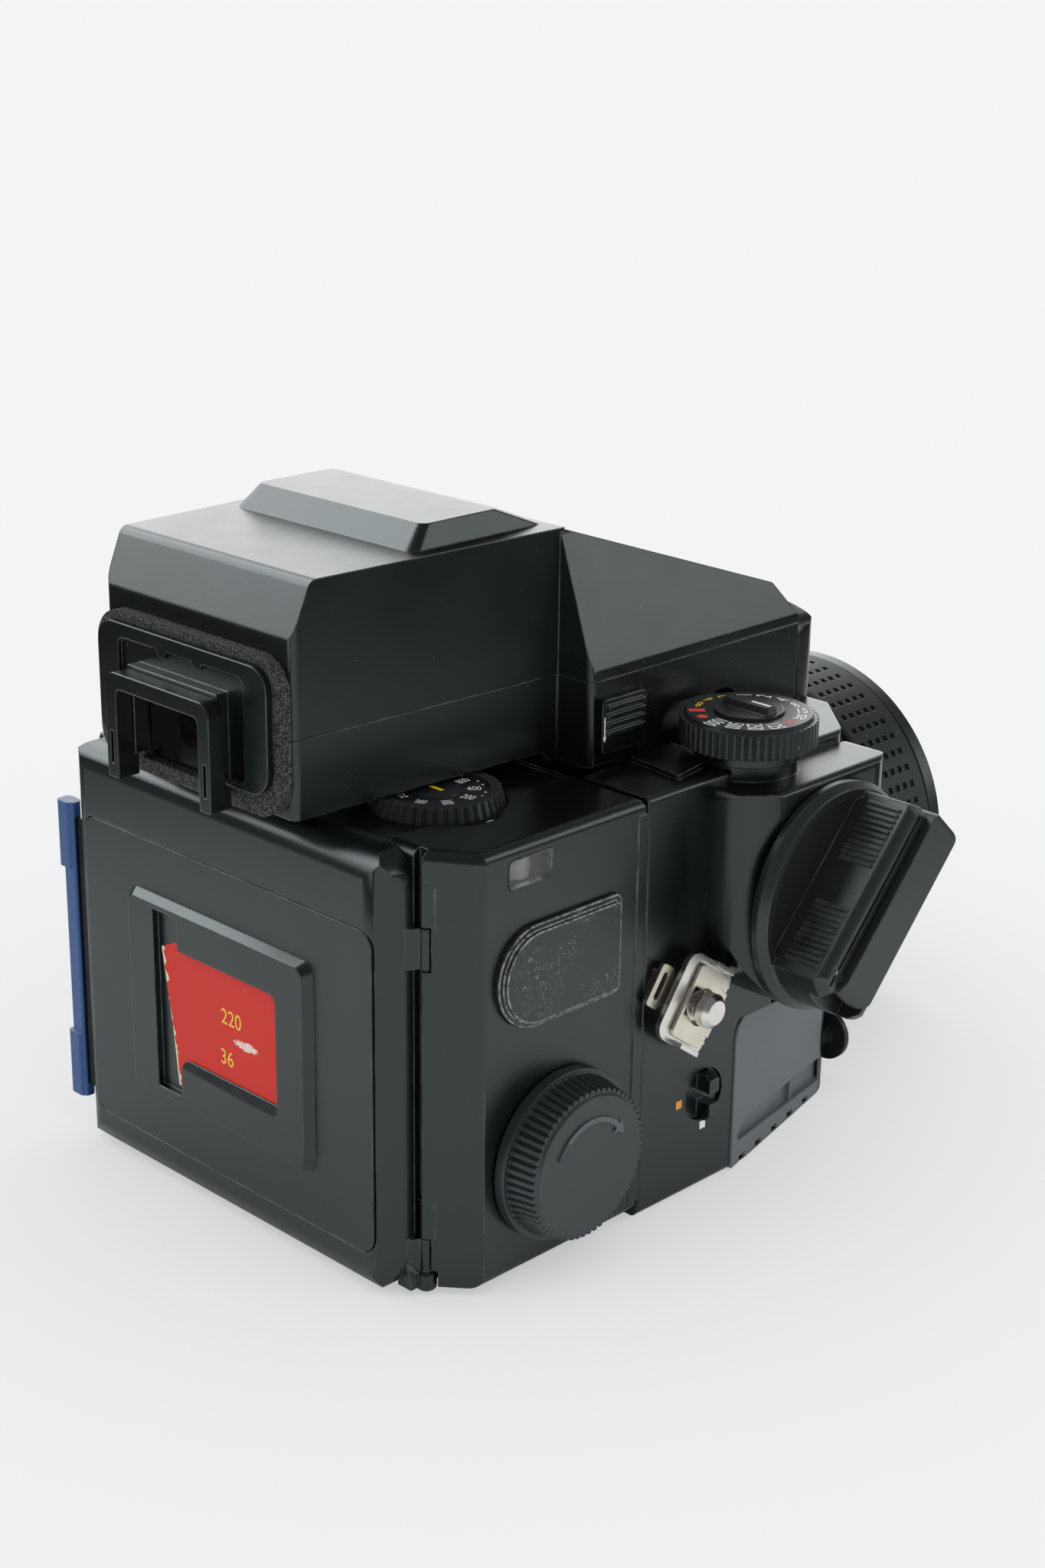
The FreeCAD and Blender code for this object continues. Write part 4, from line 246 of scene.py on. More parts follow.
# %% Foam
def foam_material():
    """Open cells, with dust in patches."""
    material, tree, shader = new_material("crumbling_foam_rubber")
    coords = add(tree, "ShaderNodeTexCoord").outputs["Object"]
    cells = add(tree, "ShaderNodeTexVoronoi", {"Vector": coords}, {"Scale": 1 / mm(0.45)})
    patches = add(tree, "ShaderNodeTexNoise", {"Vector": coords}, {"Scale": 1 / mm(0.35), "Detail": 2.0})
    dusty = add(tree, "ShaderNodeMapRange", {"Value": patches.outputs["Fac"]},
                {"From Min": 0.42, "From Max": 0.72})
    body = mix_colour(tree, dusty.outputs["Result"], colour("1b1c1c"), colour("5c5e5d"))
    tree.links.new(body, shader.inputs["Base Color"])
    shader.inputs["Roughness"].default_value = 0.95
    bump = add(tree, "ShaderNodeBump", {"Height": cells.outputs["Distance"]},
               {"Strength": 0.9, "Distance": mm(0.2)})
    tree.links.new(bump.outputs["Normal"], shader.inputs["Normal"])
    return material


FOAM = foam_material()

# %% [markdown]
# ### The metals and glasses
# Nickel plate is a metal, so its colour sits in the reflection: metallic 1 and a warm near-white. Fine
# scratches come from a noise that is stretched along one axis.

# %% Metals, glass and mirror
def plated(name, base, rough, scratch=0.15):
    """Plated or bare metal with stains and fine scratches along Z."""
    material, tree, shader = new_material(name)
    coords = add(tree, "ShaderNodeTexCoord").outputs["Object"]
    stretched = add(tree, "ShaderNodeMapping", {"Vector": coords}, {"Scale": (1, 1, 0.08)})
    lines = add(tree, "ShaderNodeTexNoise", {"Vector": stretched.outputs["Vector"]},
                {"Scale": 1 / mm(0.25), "Detail": 3.0})
    rounded = add(tree, "ShaderNodeBevel", values={"Radius": mm(0.25)}, samples=6)
    stains = add(tree, "ShaderNodeTexNoise", {"Vector": coords}, {"Scale": 1 / mm(4.0), "Detail": 3.0})
    dull = tuple(c * 0.85 for c in colour(base)[:3]) + (1.0,)
    tint = mix_colour(tree, stains.outputs["Fac"], colour(base), dull)
    tree.links.new(tint, shader.inputs["Base Color"])
    shader.inputs["Metallic"].default_value = 1.0
    spread = add(tree, "ShaderNodeMapRange", {"Value": stains.outputs["Fac"]},
                 {"To Min": rough - 0.05, "To Max": rough + 0.12})
    tree.links.new(spread.outputs["Result"], shader.inputs["Roughness"])
    bump = add(tree, "ShaderNodeBump",
               {"Height": lines.outputs["Fac"], "Normal": rounded.outputs["Normal"]},
               {"Strength": scratch, "Distance": mm(0.02)})
    tree.links.new(bump.outputs["Normal"], shader.inputs["Normal"])
    return material


def clear(name, tint, rough, ior, smear=0.0):
    """Clear moulded plastic or optical glass; smear mixes a fine haze of fingerprints in."""
    material, tree, shader = new_material(name)
    coords = add(tree, "ShaderNodeTexCoord").outputs["Object"]
    haze = add(tree, "ShaderNodeTexNoise", {"Vector": coords}, {"Scale": 1 / mm(2.5), "Detail": 5.0})
    spread = add(tree, "ShaderNodeMapRange", {"Value": haze.outputs["Fac"]},
                 {"From Min": 0.4, "From Max": 0.7, "To Min": rough, "To Max": rough + smear})
    tree.links.new(spread.outputs["Result"], shader.inputs["Roughness"])
    shader.inputs["Base Color"].default_value = colour(tint)
    shader.inputs["Transmission Weight"].default_value = 1.0
    shader.inputs["IOR"].default_value = ior
    return material


NICKEL = plated("bright_nickel_plate", "f4f2ed", 0.24)
SPRING_STEEL = plated("sprung_stainless_sheet", "f6efdf", 0.32, scratch=0.2)
DARK_STEEL = plated("blackened_spring_steel", "2a2c2e", 0.34)
ALLOY = plated("die_cast_alloy", "1c1d1d", 0.55)
GLASS = clear("coated_optical_glass", "e8f0f4", 0.02, 1.52)
EYE_GLASS = clear("deep_eyepiece_glass", "15141c", 0.05, 1.6, 0.1)
CLEAR_ACRYLIC = clear("scuffed_acrylic", "eef0ee", 0.08, 1.49, 0.25)
MIRROR = plated("front_silvered_mirror", "dfe3e6", 0.06, scratch=0.02)

# %% [markdown]
# ### The card and the inks
# A printed red card sits in the memo frame. Its surface is scuffed by years of use: fine scratches all
# over, and one bare patch where a line of print was rubbed off.

# %% Card and inks
SCUFF_AT = (7.3, -70.7, 34.9)      # middle of the rubbed patch on the card
SCUFF_HALF = (4.8, 1.0, 1.3)       # its half size
# Where the card's edges are torn to its cream core: a place on the edge, the way inwards and the depth.
TORN_EDGES = (((-15.0, 0, 46.8), (0.99, 0, 0.15), 0.9), ((-15.0, 0, 48.3), (0.1, 0, -1), 0.9),
              ((15.8, 0, 40.0), (-1, 0, 0), 0.5))


def card_material():
    """Red print on cream card: fine scratches, one rubbed patch and torn edges."""
    material, tree, shader = new_material("scuffed_red_card")
    coords = add(tree, "ShaderNodeTexCoord").outputs["Object"]
    fine = add(tree, "ShaderNodeTexNoise", {"Vector": coords},
               {"Scale": 1 / mm(0.9), "Detail": 9.0, "Roughness": 0.75, "Distortion": 1.5})
    sparse = add(tree, "ShaderNodeMapRange", {"Value": fine.outputs["Fac"]},
                 {"From Min": 0.66, "From Max": 0.72, "To Max": 0.7})
    local = add(tree, "ShaderNodeVectorMath", {0: coords}, {1: mm(*SCUFF_AT)}, operation="SUBTRACT")
    scaled = add(tree, "ShaderNodeVectorMath", {0: local.outputs[0]},
                 {1: tuple(1 / mm(half) for half in SCUFF_HALF)}, operation="MULTIPLY")
    reach = add(tree, "ShaderNodeVectorMath", {0: scaled.outputs[0]}, operation="LENGTH")
    near = add(tree, "ShaderNodeMapRange", {"Value": reach.outputs["Value"]},
               {"From Min": 0.4, "From Max": 1.1, "To Min": 0.22, "To Max": -0.2})
    raised = add(tree, "ShaderNodeMath", {0: fine.outputs["Fac"], 1: near.outputs["Result"]},
                 operation="ADD")
    patch = add(tree, "ShaderNodeMapRange", {"Value": raised.outputs[0]},
                {"From Min": 0.6, "From Max": 0.64})
    bare = add(tree, "ShaderNodeMath", {0: sparse.outputs["Result"], 1: patch.outputs["Result"]},
               operation="MAXIMUM")
    red = mix_colour(tree, bare.outputs[0], colour("cf2a1f"), colour("ead6cc"))
    ragged = add(tree, "ShaderNodeTexNoise", {"Vector": coords}, {"Scale": 1 / mm(1.6), "Detail": 6.0})
    for at, inwards, torn in TORN_EDGES:
        inside = add(tree, "ShaderNodeVectorMath", {0: coords}, {1: mm(*at)}, operation="SUBTRACT")
        depth = add(tree, "ShaderNodeVectorMath", {0: inside.outputs[0]},
                    {1: Vector(inwards).normalized() / mm(1)}, operation="DOT_PRODUCT")
        wander = add(tree, "ShaderNodeMapRange", {"Value": ragged.outputs["Fac"]},
                     {"From Min": 0.35, "From Max": 0.7, "To Max": torn})
        stripped = add(tree, "ShaderNodeMath", {0: depth.outputs["Value"], 1: wander.outputs["Result"]},
                       operation="LESS_THAN")
        red = mix_colour(tree, stripped.outputs[0], red, colour("d9cdb0"))
    tree.links.new(red, shader.inputs["Base Color"])
    shader.inputs["Roughness"].default_value = 0.45
    shader.inputs["Specular IOR Level"].default_value = 0.3
    return material


def ink(name, base):
    """Flat printing ink, a little uneven."""
    return moulded(name, base, base, 0.45, grain=0.0, edge_wear_and_highlight=0.0, dust=0.0)


RED_CARD = card_material()
INK_WHITE = ink("white_ink", "e9e9e5")
INK_ORANGE = ink("orange_ink", "e09a30")
INK_YELLOW = ink("yellow_ink", "e2b622")
INK_RED = ink("red_ink", "d0343a")
INK_GREY = ink("grey_rubbed_plastic", "4a4e50")
print("materials made:", len(bpy.data.materials))

# %% [markdown]
# ## Dressing the CAD pieces
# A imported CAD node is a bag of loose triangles, which can only be shaded flat. A copy of it is merged
# first, its flat faces are dissolved back to whole polygons, and it is shaded smooth except at real
# edges. The copy then stands for the node, and rides on the same body.

# %% Merge and smooth a copy of a node
MATERIAL_OF = {
    "body_shell": MATTE_BLACK, "side_grip_panel": GREY_ABS, "crank_housing": MATTE_BLACK,
    "base_plate": DIAL_BLACK, "tripod_bush": NICKEL, "battery": NICKEL, "battery_cover": MATTE_BLACK,
    "mirror_box": ALLOY, "reflex_mirror": MIRROR, "focusing_screen": CLEAR_ACRYLIC,
    "shutter_frame": ALLOY, "shutter_curtains": CLOTH, "lens_mount_ring": NICKEL,
    "strap_studs": NICKEL, "clip_frame": NICKEL, "clip_spring_plate": SPRING_STEEL,
    "multi_exposure_lever": MATTE_BLACK, "shutter_release_button": DIAL_BLACK,
    "lens_release_button": NICKEL, "shutter_dial": DIAL_BLACK, "dial_lock_button": DIAL_BLACK,
    "crank_hub": CRANK_BLACK, "crank_arm_pin": NICKEL, "crank_arm": SATIN_BLACK,
    "crank_knob": GLOSS_BLACK,
    "magazine_shell": MATTE_BLACK, "side_cap": SCRATCHED, "counter_window": CLEAR_ACRYLIC,
    "counter_disc": WHITE, "insert_frame": MATTE_BLACK, "pressure_plate": ALLOY,
    "take_up_spool": MATTE_BLACK, "supply_spool": MATTE_BLACK, "film": FILM, "wind_knob": KNOB_BLACK,
    "film_speed_dial": DIAL_BLACK, "rear_cover": MATTE_BLACK, "pocket_panel": MATTE_BLACK,
    "memo_frame": MATTE_BLACK, "film_card": RED_CARD, "dark_slide_blade": DARK_STEEL,
    "dark_slide_handle": BLUE, "hinge_pin": NICKEL, "cover_latch": MATTE_BLACK,
    "finder_lower_housing": MATTE_BLACK, "finder_upper_housing": MATTE_BLACK,
    "finder_front_cover": MATTE_BLACK, "finder_release_slider": MATTE_BLACK, "finder_prism": GLASS,
    "foam_gasket": FOAM, "eyepiece_plate": MATTE_BLACK, "eyecup_frame": GLOSS_BLACK,
    "eyepiece_lens": EYE_GLASS, "lens_barrel": LENS_BLACK, "aperture_ring": LENS_BLACK,
    "focus_ring": LENS_BLACK, "focus_grip": RUBBER, "filter_ring": LENS_BLACK, "lens_elements": GLASS,
    "iris_blades": ALLOY}


def place(mesh, name, body, material, replaces=()):
    """Make an object of a mesh at the origin, give it its material and let it ride on its body."""
    piece = bpy.data.objects.new(name, mesh)
    bpy.context.scene.collection.objects.link(piece)
    mesh.materials.clear()
    mesh.materials.append(material)
    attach(piece, body)
    if replaces:
        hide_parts(*replaces)
    return piece


def applied(mesh, kind, set_up):
    """Run one modifier on a mesh and return the result as a plain mesh."""
    holder = bpy.data.objects.new("holder", mesh)
    bpy.context.scene.collection.objects.link(holder)
    modifier = holder.modifiers.new("work", kind)
    set_up(modifier)
    made = holder.evaluated_get(bpy.context.evaluated_depsgraph_get())
    result = bpy.data.meshes.new_from_object(made)
    holder.modifiers.remove(modifier)
    bpy.data.objects.remove(holder)
    return result


def flats_first(modifier):
    """Weighted normals: large flat faces keep theirs, and only the rounded edges between them bend."""
    modifier.mode = "FACE_AREA"
    modifier.keep_sharp = True


def dress(node, smooth_angle=32):
    """A merged and smoothed copy of a CAD node, which stands for it."""
    mesh = NODES[node].data.copy()
    mesh.name = "dressed_" + node
    shape = bmesh.new()
    shape.from_mesh(mesh)
    bmesh.ops.remove_doubles(shape, verts=shape.verts, dist=mm(0.002))
    bmesh.ops.dissolve_limit(shape, angle_limit=math.radians(0.5), verts=shape.verts, edges=shape.edges)
    for face in shape.faces:
        face.smooth = True
    for edge in shape.edges:
        if len(edge.link_faces) == 2 and edge.calc_face_angle(0) > math.radians(smooth_angle):
            edge.smooth = False
    shape.to_mesh(mesh)
    shape.free()
    mesh = applied(mesh, "WEIGHTED_NORMAL", flats_first)
    return place(mesh, node + "_dressed", BODY_OF[node], MATERIAL_OF[node], [node])


REMADE = ("focus_grip",)           # nodes that get a finer piece below
for node_name in NODES:
    if node_name not in REMADE:
        piece = dress(node_name)
print("dressed", len(NODES) - len(REMADE), "nodes")

# %% [markdown]
# ## The rubber of the focus grip
# The grip is a plain rubber ring with short rows of small square pits. The ring is lathed, and one
# Geometry Nodes tree sinks the pits: it spreads points over the ring row by row, stands a small block
# on each, facing outwards, and takes the blocks away from the ring.

# %% Pitted grip
GRIP_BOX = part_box("focus_grip")
GRIP_OUTER, GRIP_INNER = 33.0, 30.8
GRIP_Y0, GRIP_Y1 = GRIP_BOX[0][1] * 1000, GRIP_BOX[1][1] * 1000
PIT_ROWS, PITS_IN_ROW = 60, 5
PIT_SIZE, PIT_DEPTH, PIT_PITCH, PIT_START = 1.25, 0.5, 2.35, 2.4


def lathe(name, profile, steps):
    """Turn a closed outline of (radius, Y) round the lens axis; the outline runs so faces point out."""
    shape = bmesh.new()
    rings = []
    for i in range(steps):
        a = 2 * math.pi * i / steps
        rings.append([shape.verts.new(mm(r * math.cos(a), y, AXIS_Z + r * math.sin(a)))
                      for r, y in profile])
    for i, ring in enumerate(rings):
        after = rings[(i + 1) % steps]
        for j in range(len(profile)):
            k = (j + 1) % len(profile)
            shape.faces.new((ring[j], ring[k], after[k], after[j]))
    bmesh.ops.recalc_face_normals(shape, faces=shape.faces)
    mesh = bpy.data.meshes.new(name)
    shape.to_mesh(mesh)
    shape.free()
    return mesh


def pit_tree():
    """Geometry Nodes that sink rows of square pits in a ring round the Y axis."""
    tree = bpy.data.node_groups.new("pitted_ring", "GeometryNodeTree")
    face = tree.interface
    face.new_socket("Geometry", in_out="OUTPUT", socket_type="NodeSocketGeometry")
    face.new_socket("Geometry", in_out="INPUT", socket_type="NodeSocketGeometry")
    for name, kind in (("Rows", "NodeSocketInt"), ("Pits in a row", "NodeSocketInt"),
                       ("Radius", "NodeSocketFloat"), ("First pit", "NodeSocketFloat"),
                       ("Pitch", "NodeSocketFloat"), ("Pit size", "NodeSocketVector"),
                       ("Axis height", "NodeSocketFloat"), ("Material", "NodeSocketMaterial")):
        face.new_socket(name, in_out="INPUT", socket_type=kind)
    given = add(tree, "NodeGroupInput").outputs

    def maths(operation, a, b):
        node = tree.nodes.new("ShaderNodeMath")
        node.operation = operation
        for socket, value in ((node.inputs[0], a), (node.inputs[1], b)):
            if isinstance(value, (int, float)):
                socket.default_value = value
            else:
                tree.links.new(value, socket)
        return node.outputs[0]

    index = add(tree, "GeometryNodeInputIndex").outputs["Index"]
    row = maths("FLOOR", maths("DIVIDE", index, given["Pits in a row"]), 0)
    place_in_row = maths("SUBTRACT", index, maths("MULTIPLY", row, given["Pits in a row"]))
    angle = maths("DIVIDE", maths("MULTIPLY", row, 2 * math.pi), given["Rows"])
    along = maths("ADD", given["First pit"], maths("MULTIPLY", place_in_row, given["Pitch"]))
    outwards = add(tree, "ShaderNodeCombineXYZ",
                   {"X": maths("COSINE", angle, 0), "Z": maths("SINE", angle, 0)})
    across = maths("MULTIPLY", maths("COSINE", angle, 0), given["Radius"])
    high = maths("ADD", maths("MULTIPLY", maths("SINE", angle, 0), given["Radius"]), given["Axis height"])
    centre = add(tree, "ShaderNodeCombineXYZ", {"X": across, "Y": along, "Z": high})
    count = maths("MULTIPLY", given["Rows"], given["Pits in a row"])
    points = add(tree, "GeometryNodePoints", {"Count": count, "Position": centre.outputs[0]})
    facing = add(tree, "FunctionNodeAlignRotationToVector", {"Vector": outwards.outputs[0]}, axis="Z",
                 pivot_axis="Y")
    block = add(tree, "GeometryNodeMeshCube", {"Size": given["Pit size"]})
    blocks = add(tree, "GeometryNodeInstanceOnPoints",
                 {"Points": points.outputs[0], "Instance": block.outputs["Mesh"],
                  "Rotation": facing.outputs[0]})
    solid_blocks = add(tree, "GeometryNodeRealizeInstances", {0: blocks.outputs[0]})
    cut = add(tree, "GeometryNodeMeshBoolean", {0: given["Geometry"], 1: solid_blocks.outputs[0]},
              operation="DIFFERENCE")
    whole = add(tree, "GeometryNodeRealizeInstances", {0: cut.outputs["Mesh"]})
    painted = add(tree, "GeometryNodeSetMaterial",
                  {"Geometry": whole.outputs[0], "Material": given["Material"]})
    add(tree, "NodeGroupOutput", {0: painted.outputs[0]})
    return tree


def grown(mesh, tree, values):
    """Run a Geometry Nodes tree on a mesh, its inputs set by their identifiers."""
    def set_up(modifier):
        modifier.node_group = tree
        for item in tree.interface.items_tree:
            if item.in_out == "INPUT" and item.name in values:
                modifier[item.identifier] = values[item.name]

    return applied(mesh, "NODES", set_up)


grip_profile = [(GRIP_INNER, GRIP_Y0), (GRIP_OUTER - 0.4, GRIP_Y0), (GRIP_OUTER, GRIP_Y0 + 0.4),
                (GRIP_OUTER, GRIP_Y1 - 0.6), (GRIP_OUTER - 0.6, GRIP_Y1), (GRIP_INNER, GRIP_Y1)]
grip = grown(lathe("grip_ring", grip_profile, 288), pit_tree(), {
    "Rows": PIT_ROWS, "Pits in a row": PITS_IN_ROW, "Radius": mm(GRIP_OUTER),
    "First pit": mm(GRIP_Y0 + PIT_START), "Pitch": mm(PIT_PITCH),
    "Pit size": mm(PIT_SIZE, PIT_SIZE, 2 * PIT_DEPTH), "Axis height": mm(AXIS_Z), "Material": RUBBER})
place(grip, "pitted_focus_grip", BODY_OF["focus_grip"], RUBBER, ["focus_grip"])
print("grip faces:", len(grip.polygons))

# %% [markdown]
# ## Printed marks
# Numbers are set as text, turned to a flat mesh and laid a hair above the surface that carries them.
# A ray finds that surface in the CAD, so a mark sits on it whatever its height. All marks of one colour
# on one body are one piece.

# %% Flat marks
LIFT = 0.03                        # height of a printed mark above its surface
CAP_HEIGHT = 0.72                  # height of a digit of the built-in font at size 1
NARROW = 0.78                      # the lens scale uses a narrow face
RIGHT, FORWARD, UP = Vector((1, 0, 0)), Vector((0, 1, 0)), Vector((0, 0, 1))
PRINTED = {}                       # (body, ink name) -> flat meshes
SEARCHED = {}                      # node -> its triangles, sorted for ray casts


def surface(node, near, normal, reach=20.0):
    """The place on a CAD node under a point, seen along its normal, lifted by a hair."""
    if node not in SEARCHED:
        mesh = NODES[node].data
        SEARCHED[node] = BVHTree.FromPolygons([v.co for v in mesh.vertices],
                                              [tuple(p.vertices) for p in mesh.polygons])
    at = SEARCHED[node].ray_cast(near + normal * mm(reach), -normal)[0]
    if at is None:
        raise RuntimeError("no surface of " + node + " under a mark")
    return at + normal * mm(LIFT)


def lay(mesh, node, at, reading, up, narrow, ink_used):
    """Turn a flat mesh drawn in X and Y onto a surface and keep it for its ink."""
    normal = reading.cross(up)
    found = surface(node, at, normal)
    turn = Matrix((reading * narrow, up, normal)).transposed().to_4x4()
    mesh.transform(Matrix.Translation(found) @ turn)
    PRINTED.setdefault((BODY_OF[node], ink_used.name), []).append(mesh)


def number(text, height, node, at, reading, up, ink_used, narrow=NARROW):
    """A number centred on a place."""
    curve = bpy.data.curves.new("glyphs", "FONT")
    curve.body = text
    curve.size = mm(height) / CAP_HEIGHT
    curve.align_x, curve.align_y = "CENTER", "CENTER"
    holder = bpy.data.objects.new("glyphs", curve)
    bpy.context.scene.collection.objects.link(holder)
    made = holder.evaluated_get(bpy.context.evaluated_depsgraph_get())
    mesh = bpy.data.meshes.new_from_object(made)
    bpy.data.objects.remove(holder)
    lay(mesh, node, at, reading, up, narrow, ink_used)


def figure(corners, node, at, reading, up, ink_used):
    """A flat polygon whose corners are given in millimetres round a place."""
    mesh = bpy.data.meshes.new("figure")
    mesh.from_pydata([mm(x, y, 0) for x, y in corners], [], [tuple(range(len(corners)))])
    lay(mesh, node, at, reading, up, 1.0, ink_used)


def bar(half_long, half_wide):
    return [(-half_long, -half_wide), (half_long, -half_wide), (half_long, half_wide),
            (-half_long, half_wide)]


def spot(radius, corners=12):
    return [(radius * math.cos(2 * math.pi * i / corners), radius * math.sin(2 * math.pi * i / corners))
            for i in range(corners)]


def round_dial(centre, height, angle, radius):
    """Place, outward direction and turning direction at an angle on a dial that faces up."""
    a = math.radians(angle)
    out, around = Vector((math.cos(a), math.sin(a), 0)), Vector((-math.sin(a), math.cos(a), 0))
    return mm(*centre, height) + out * mm(radius), out, around


# %% [markdown]
# ### The dials
# The shutter dial runs from 1/1000 s to whole seconds in steps of 22.5 degrees. Whole seconds beyond
# one are yellow, and the flash speed and the two settings without a time are red. The film-speed dial
# has nine speeds, each twice the one before, with two dots for the thirds between them.

# %% Dial marks
DIAL_FACE, DIAL_MARKS_R, DIAL_STEP = 86, 9.0, 22.5   # height, radius of the marks, degrees between them
DIAL_FIRST, DIAL_RED_MARKS = -90, (225, 247.5)       # degrees: the first number and the two plain marks
SPEEDS = ["1000", "500", "250", "125", "60", "30", "15", "8", "4", "2", "1"]
FLASH_SPEED = "60"
LONG_TIMES = ["2", "4", "8"]
for i, label in enumerate(SPEEDS + LONG_TIMES):
    at, out, around = round_dial(DIAL_AT, DIAL_FACE, DIAL_FIRST + DIAL_STEP * i, DIAL_MARKS_R)
    used = INK_YELLOW if i >= len(SPEEDS) else INK_RED if label == FLASH_SPEED else INK_WHITE
    number(label, 2.8, "shutter_dial", at, out, around, used, 0.56)
for angle, shape in zip(DIAL_RED_MARKS, (bar(1.4, 0.8), spot(0.95))):
    at, out, around = round_dial(DIAL_AT, DIAL_FACE, angle, DIAL_MARKS_R)
    figure(shape, "shutter_dial", at, out, around, INK_RED)
figure(bar(2.0, 0.3), "dial_lock_button", mm(DIAL_AT[0] + 2.5, DIAL_AT[1], DIAL_FACE), RIGHT, FORWARD,
       INK_WHITE)

ISO_FACE, ISO_FIRST, ISO_STEP = 79, -108, 40.0       # height, degrees of the first speed and between them
ISO_NUMBERS_R, ISO_DOTS_R = 6.2, 8.1
for i in range(9):
    angle = ISO_FIRST + ISO_STEP * i
    at, out, around = round_dial(ISO_AT, ISO_FACE, angle, ISO_NUMBERS_R)
    number(str(25 * 2 ** i), 1.9, "film_speed_dial", at, out, around, INK_WHITE, 0.62)
    for third in (1, 2):
        at, out, around = round_dial(ISO_AT, ISO_FACE, angle + ISO_STEP * third / 3, ISO_DOTS_R)
        figure(spot(0.24), "film_speed_dial", at, out, around, INK_WHITE)
figure(bar(1.5, 0.4), "film_speed_dial", mm(*ISO_AT, ISO_FACE), RIGHT, FORWARD, INK_YELLOW)
figure(bar(0.7, 0.7), "magazine_shell", mm(39.4, -44.8, BODY_TOP), RIGHT, FORWARD, INK_WHITE)

# %% [markdown]
# ### The small index marks
# A white square and an orange one show the two ends of the small lever's turn. An arrow on the finder's
# slider points the way it moves, and one on the winding knob the way it turns.

# %% Index marks
figure(bar(0.75, 0.75), "body_shell", mm(SIDE_X, -9.6, 18.5), FORWARD, UP, INK_ORANGE)
figure(bar(0.75, 0.75), "body_shell", mm(SIDE_X, -3.0, 12.4), FORWARD, UP, INK_WHITE)
ARC_R, ARC_HALF, ARC_FROM, ARC_TO, ARC_STEPS = 8.1, 0.45, 132, 40, 12
KNOB_AT = mm(58.6, *WIND_AT)        # middle of the winding knob's face
for i in range(ARC_STEPS):
    ends = [math.radians(ARC_FROM + (ARC_TO - ARC_FROM) * (i + k) / ARC_STEPS) for k in (0, 1)]
    strip = [(r * math.cos(a), r * math.sin(a))
             for a, r in ((ends[1], ARC_R - ARC_HALF), (ends[1], ARC_R + ARC_HALF),
                          (ends[0], ARC_R + ARC_HALF), (ends[0], ARC_R - ARC_HALF))]
    middle = math.radians(ARC_FROM + (ARC_TO - ARC_FROM) * (i + 0.5) / ARC_STEPS)
    centre = (ARC_R * math.cos(middle), ARC_R * math.sin(middle))
    figure([(x - centre[0], y - centre[1]) for x, y in strip], "wind_knob",
           KNOB_AT + mm(0, *centre), FORWARD, UP, INK_GREY)
tip = math.radians(ARC_TO)
head_at = mm(0, ARC_R * math.cos(tip), ARC_R * math.sin(tip))
ahead = Vector((0, math.sin(tip), -math.cos(tip)))
figure([(0, -1.3), (2.2, 0), (0, 1.3)], "wind_knob", KNOB_AT + head_at, ahead,
       RIGHT.cross(ahead), INK_GREY)
ARROW = [(-0.14, 2.2), (-0.14, -1.2), (-0.42, -1.2), (0, -2.2), (0.42, -1.2), (0.14, -1.2),
         (0.14, 2.2)]
figure(ARROW, "finder_release_slider", mm(36.5, -14.8, 85.0), FORWARD, UP, INK_WHITE)

# %% [markdown]
# ### The lens scale
# A distance scale in metres runs round the smooth ring behind the grip, with plain round numbers.

# %% Distance scale
SCALE_Y, SCALE_R = 68.6, 31.0      # where the numbers run, and about the ring's radius
SCALE_FIRST, SCALE_STEP = 20, 17   # degrees
DISTANCES = ["1", "1.2", "1.5", "2", "3", "5", "10", "30"]
for i, label in enumerate(DISTANCES):
    a = math.radians(SCALE_FIRST + SCALE_STEP * i)
    out = Vector((math.cos(a), 0, math.sin(a)))
    reading = Vector((math.sin(a), 0, -math.cos(a)))
    at = mm(0, SCALE_Y, AXIS_Z) + out * mm(SCALE_R)
    number(label, 2.0, "focus_ring", at, reading, out.cross(reading), INK_ORANGE)

# %% [markdown]
# ### The card
# The card carries two plain numbers.

# %% Card numbers
CARD_FACE = -70.7
for text, x, z in (("220", 3.6, 38.6), ("36", 2.2, 31.0)):
    number(text, 2.9, "film_card", mm(x, CARD_FACE, z), RIGHT, UP, INK_YELLOW, 0.9)

# %% [markdown]
# Now the flat meshes of each ink on each body are joined to one piece.


def joined(name, meshes):
    """One mesh of several, which are removed."""
    shape = bmesh.new()
    for mesh in meshes:
        shape.from_mesh(mesh)
        bpy.data.meshes.remove(mesh)
    whole = bpy.data.meshes.new(name)
    shape.to_mesh(whole)
    shape.free()
    return whole


for (body, ink_name), meshes in PRINTED.items():
    name = body + "_" + ink_name + "_marks"
    place(joined(name, meshes), name, body, bpy.data.materials[ink_name])
print("printed marks:", len(PRINTED), "pieces")

# %% [markdown]
# ## Stage, light and camera
# The camera stands on a wide white table in a soft, even room light. Four large soft boxes are seen
# only in reflections, as black plastic shows its shape by what it mirrors. The table's white paper is a
# strip that runs with the view: beyond it, what the camera's sides mirror is the dark room.

# %% Floor
PAPER_HALF, PAPER_BLUR = 0.27, 0.04    # metres from the view's axis to the paper's edge, and its blur
TABLE_HALF = 14.0                  # metres
PAPER, ROOM_DARK = "f6f7f7", "2c2e30"
GLOW = 0.5                         # share of the paper's whiteness that a shadow doesn't dim
VIEW_AZIMUTH, VIEW_ELEVATION, VIEW_ROLL = 44.5, 19.5, -0.72


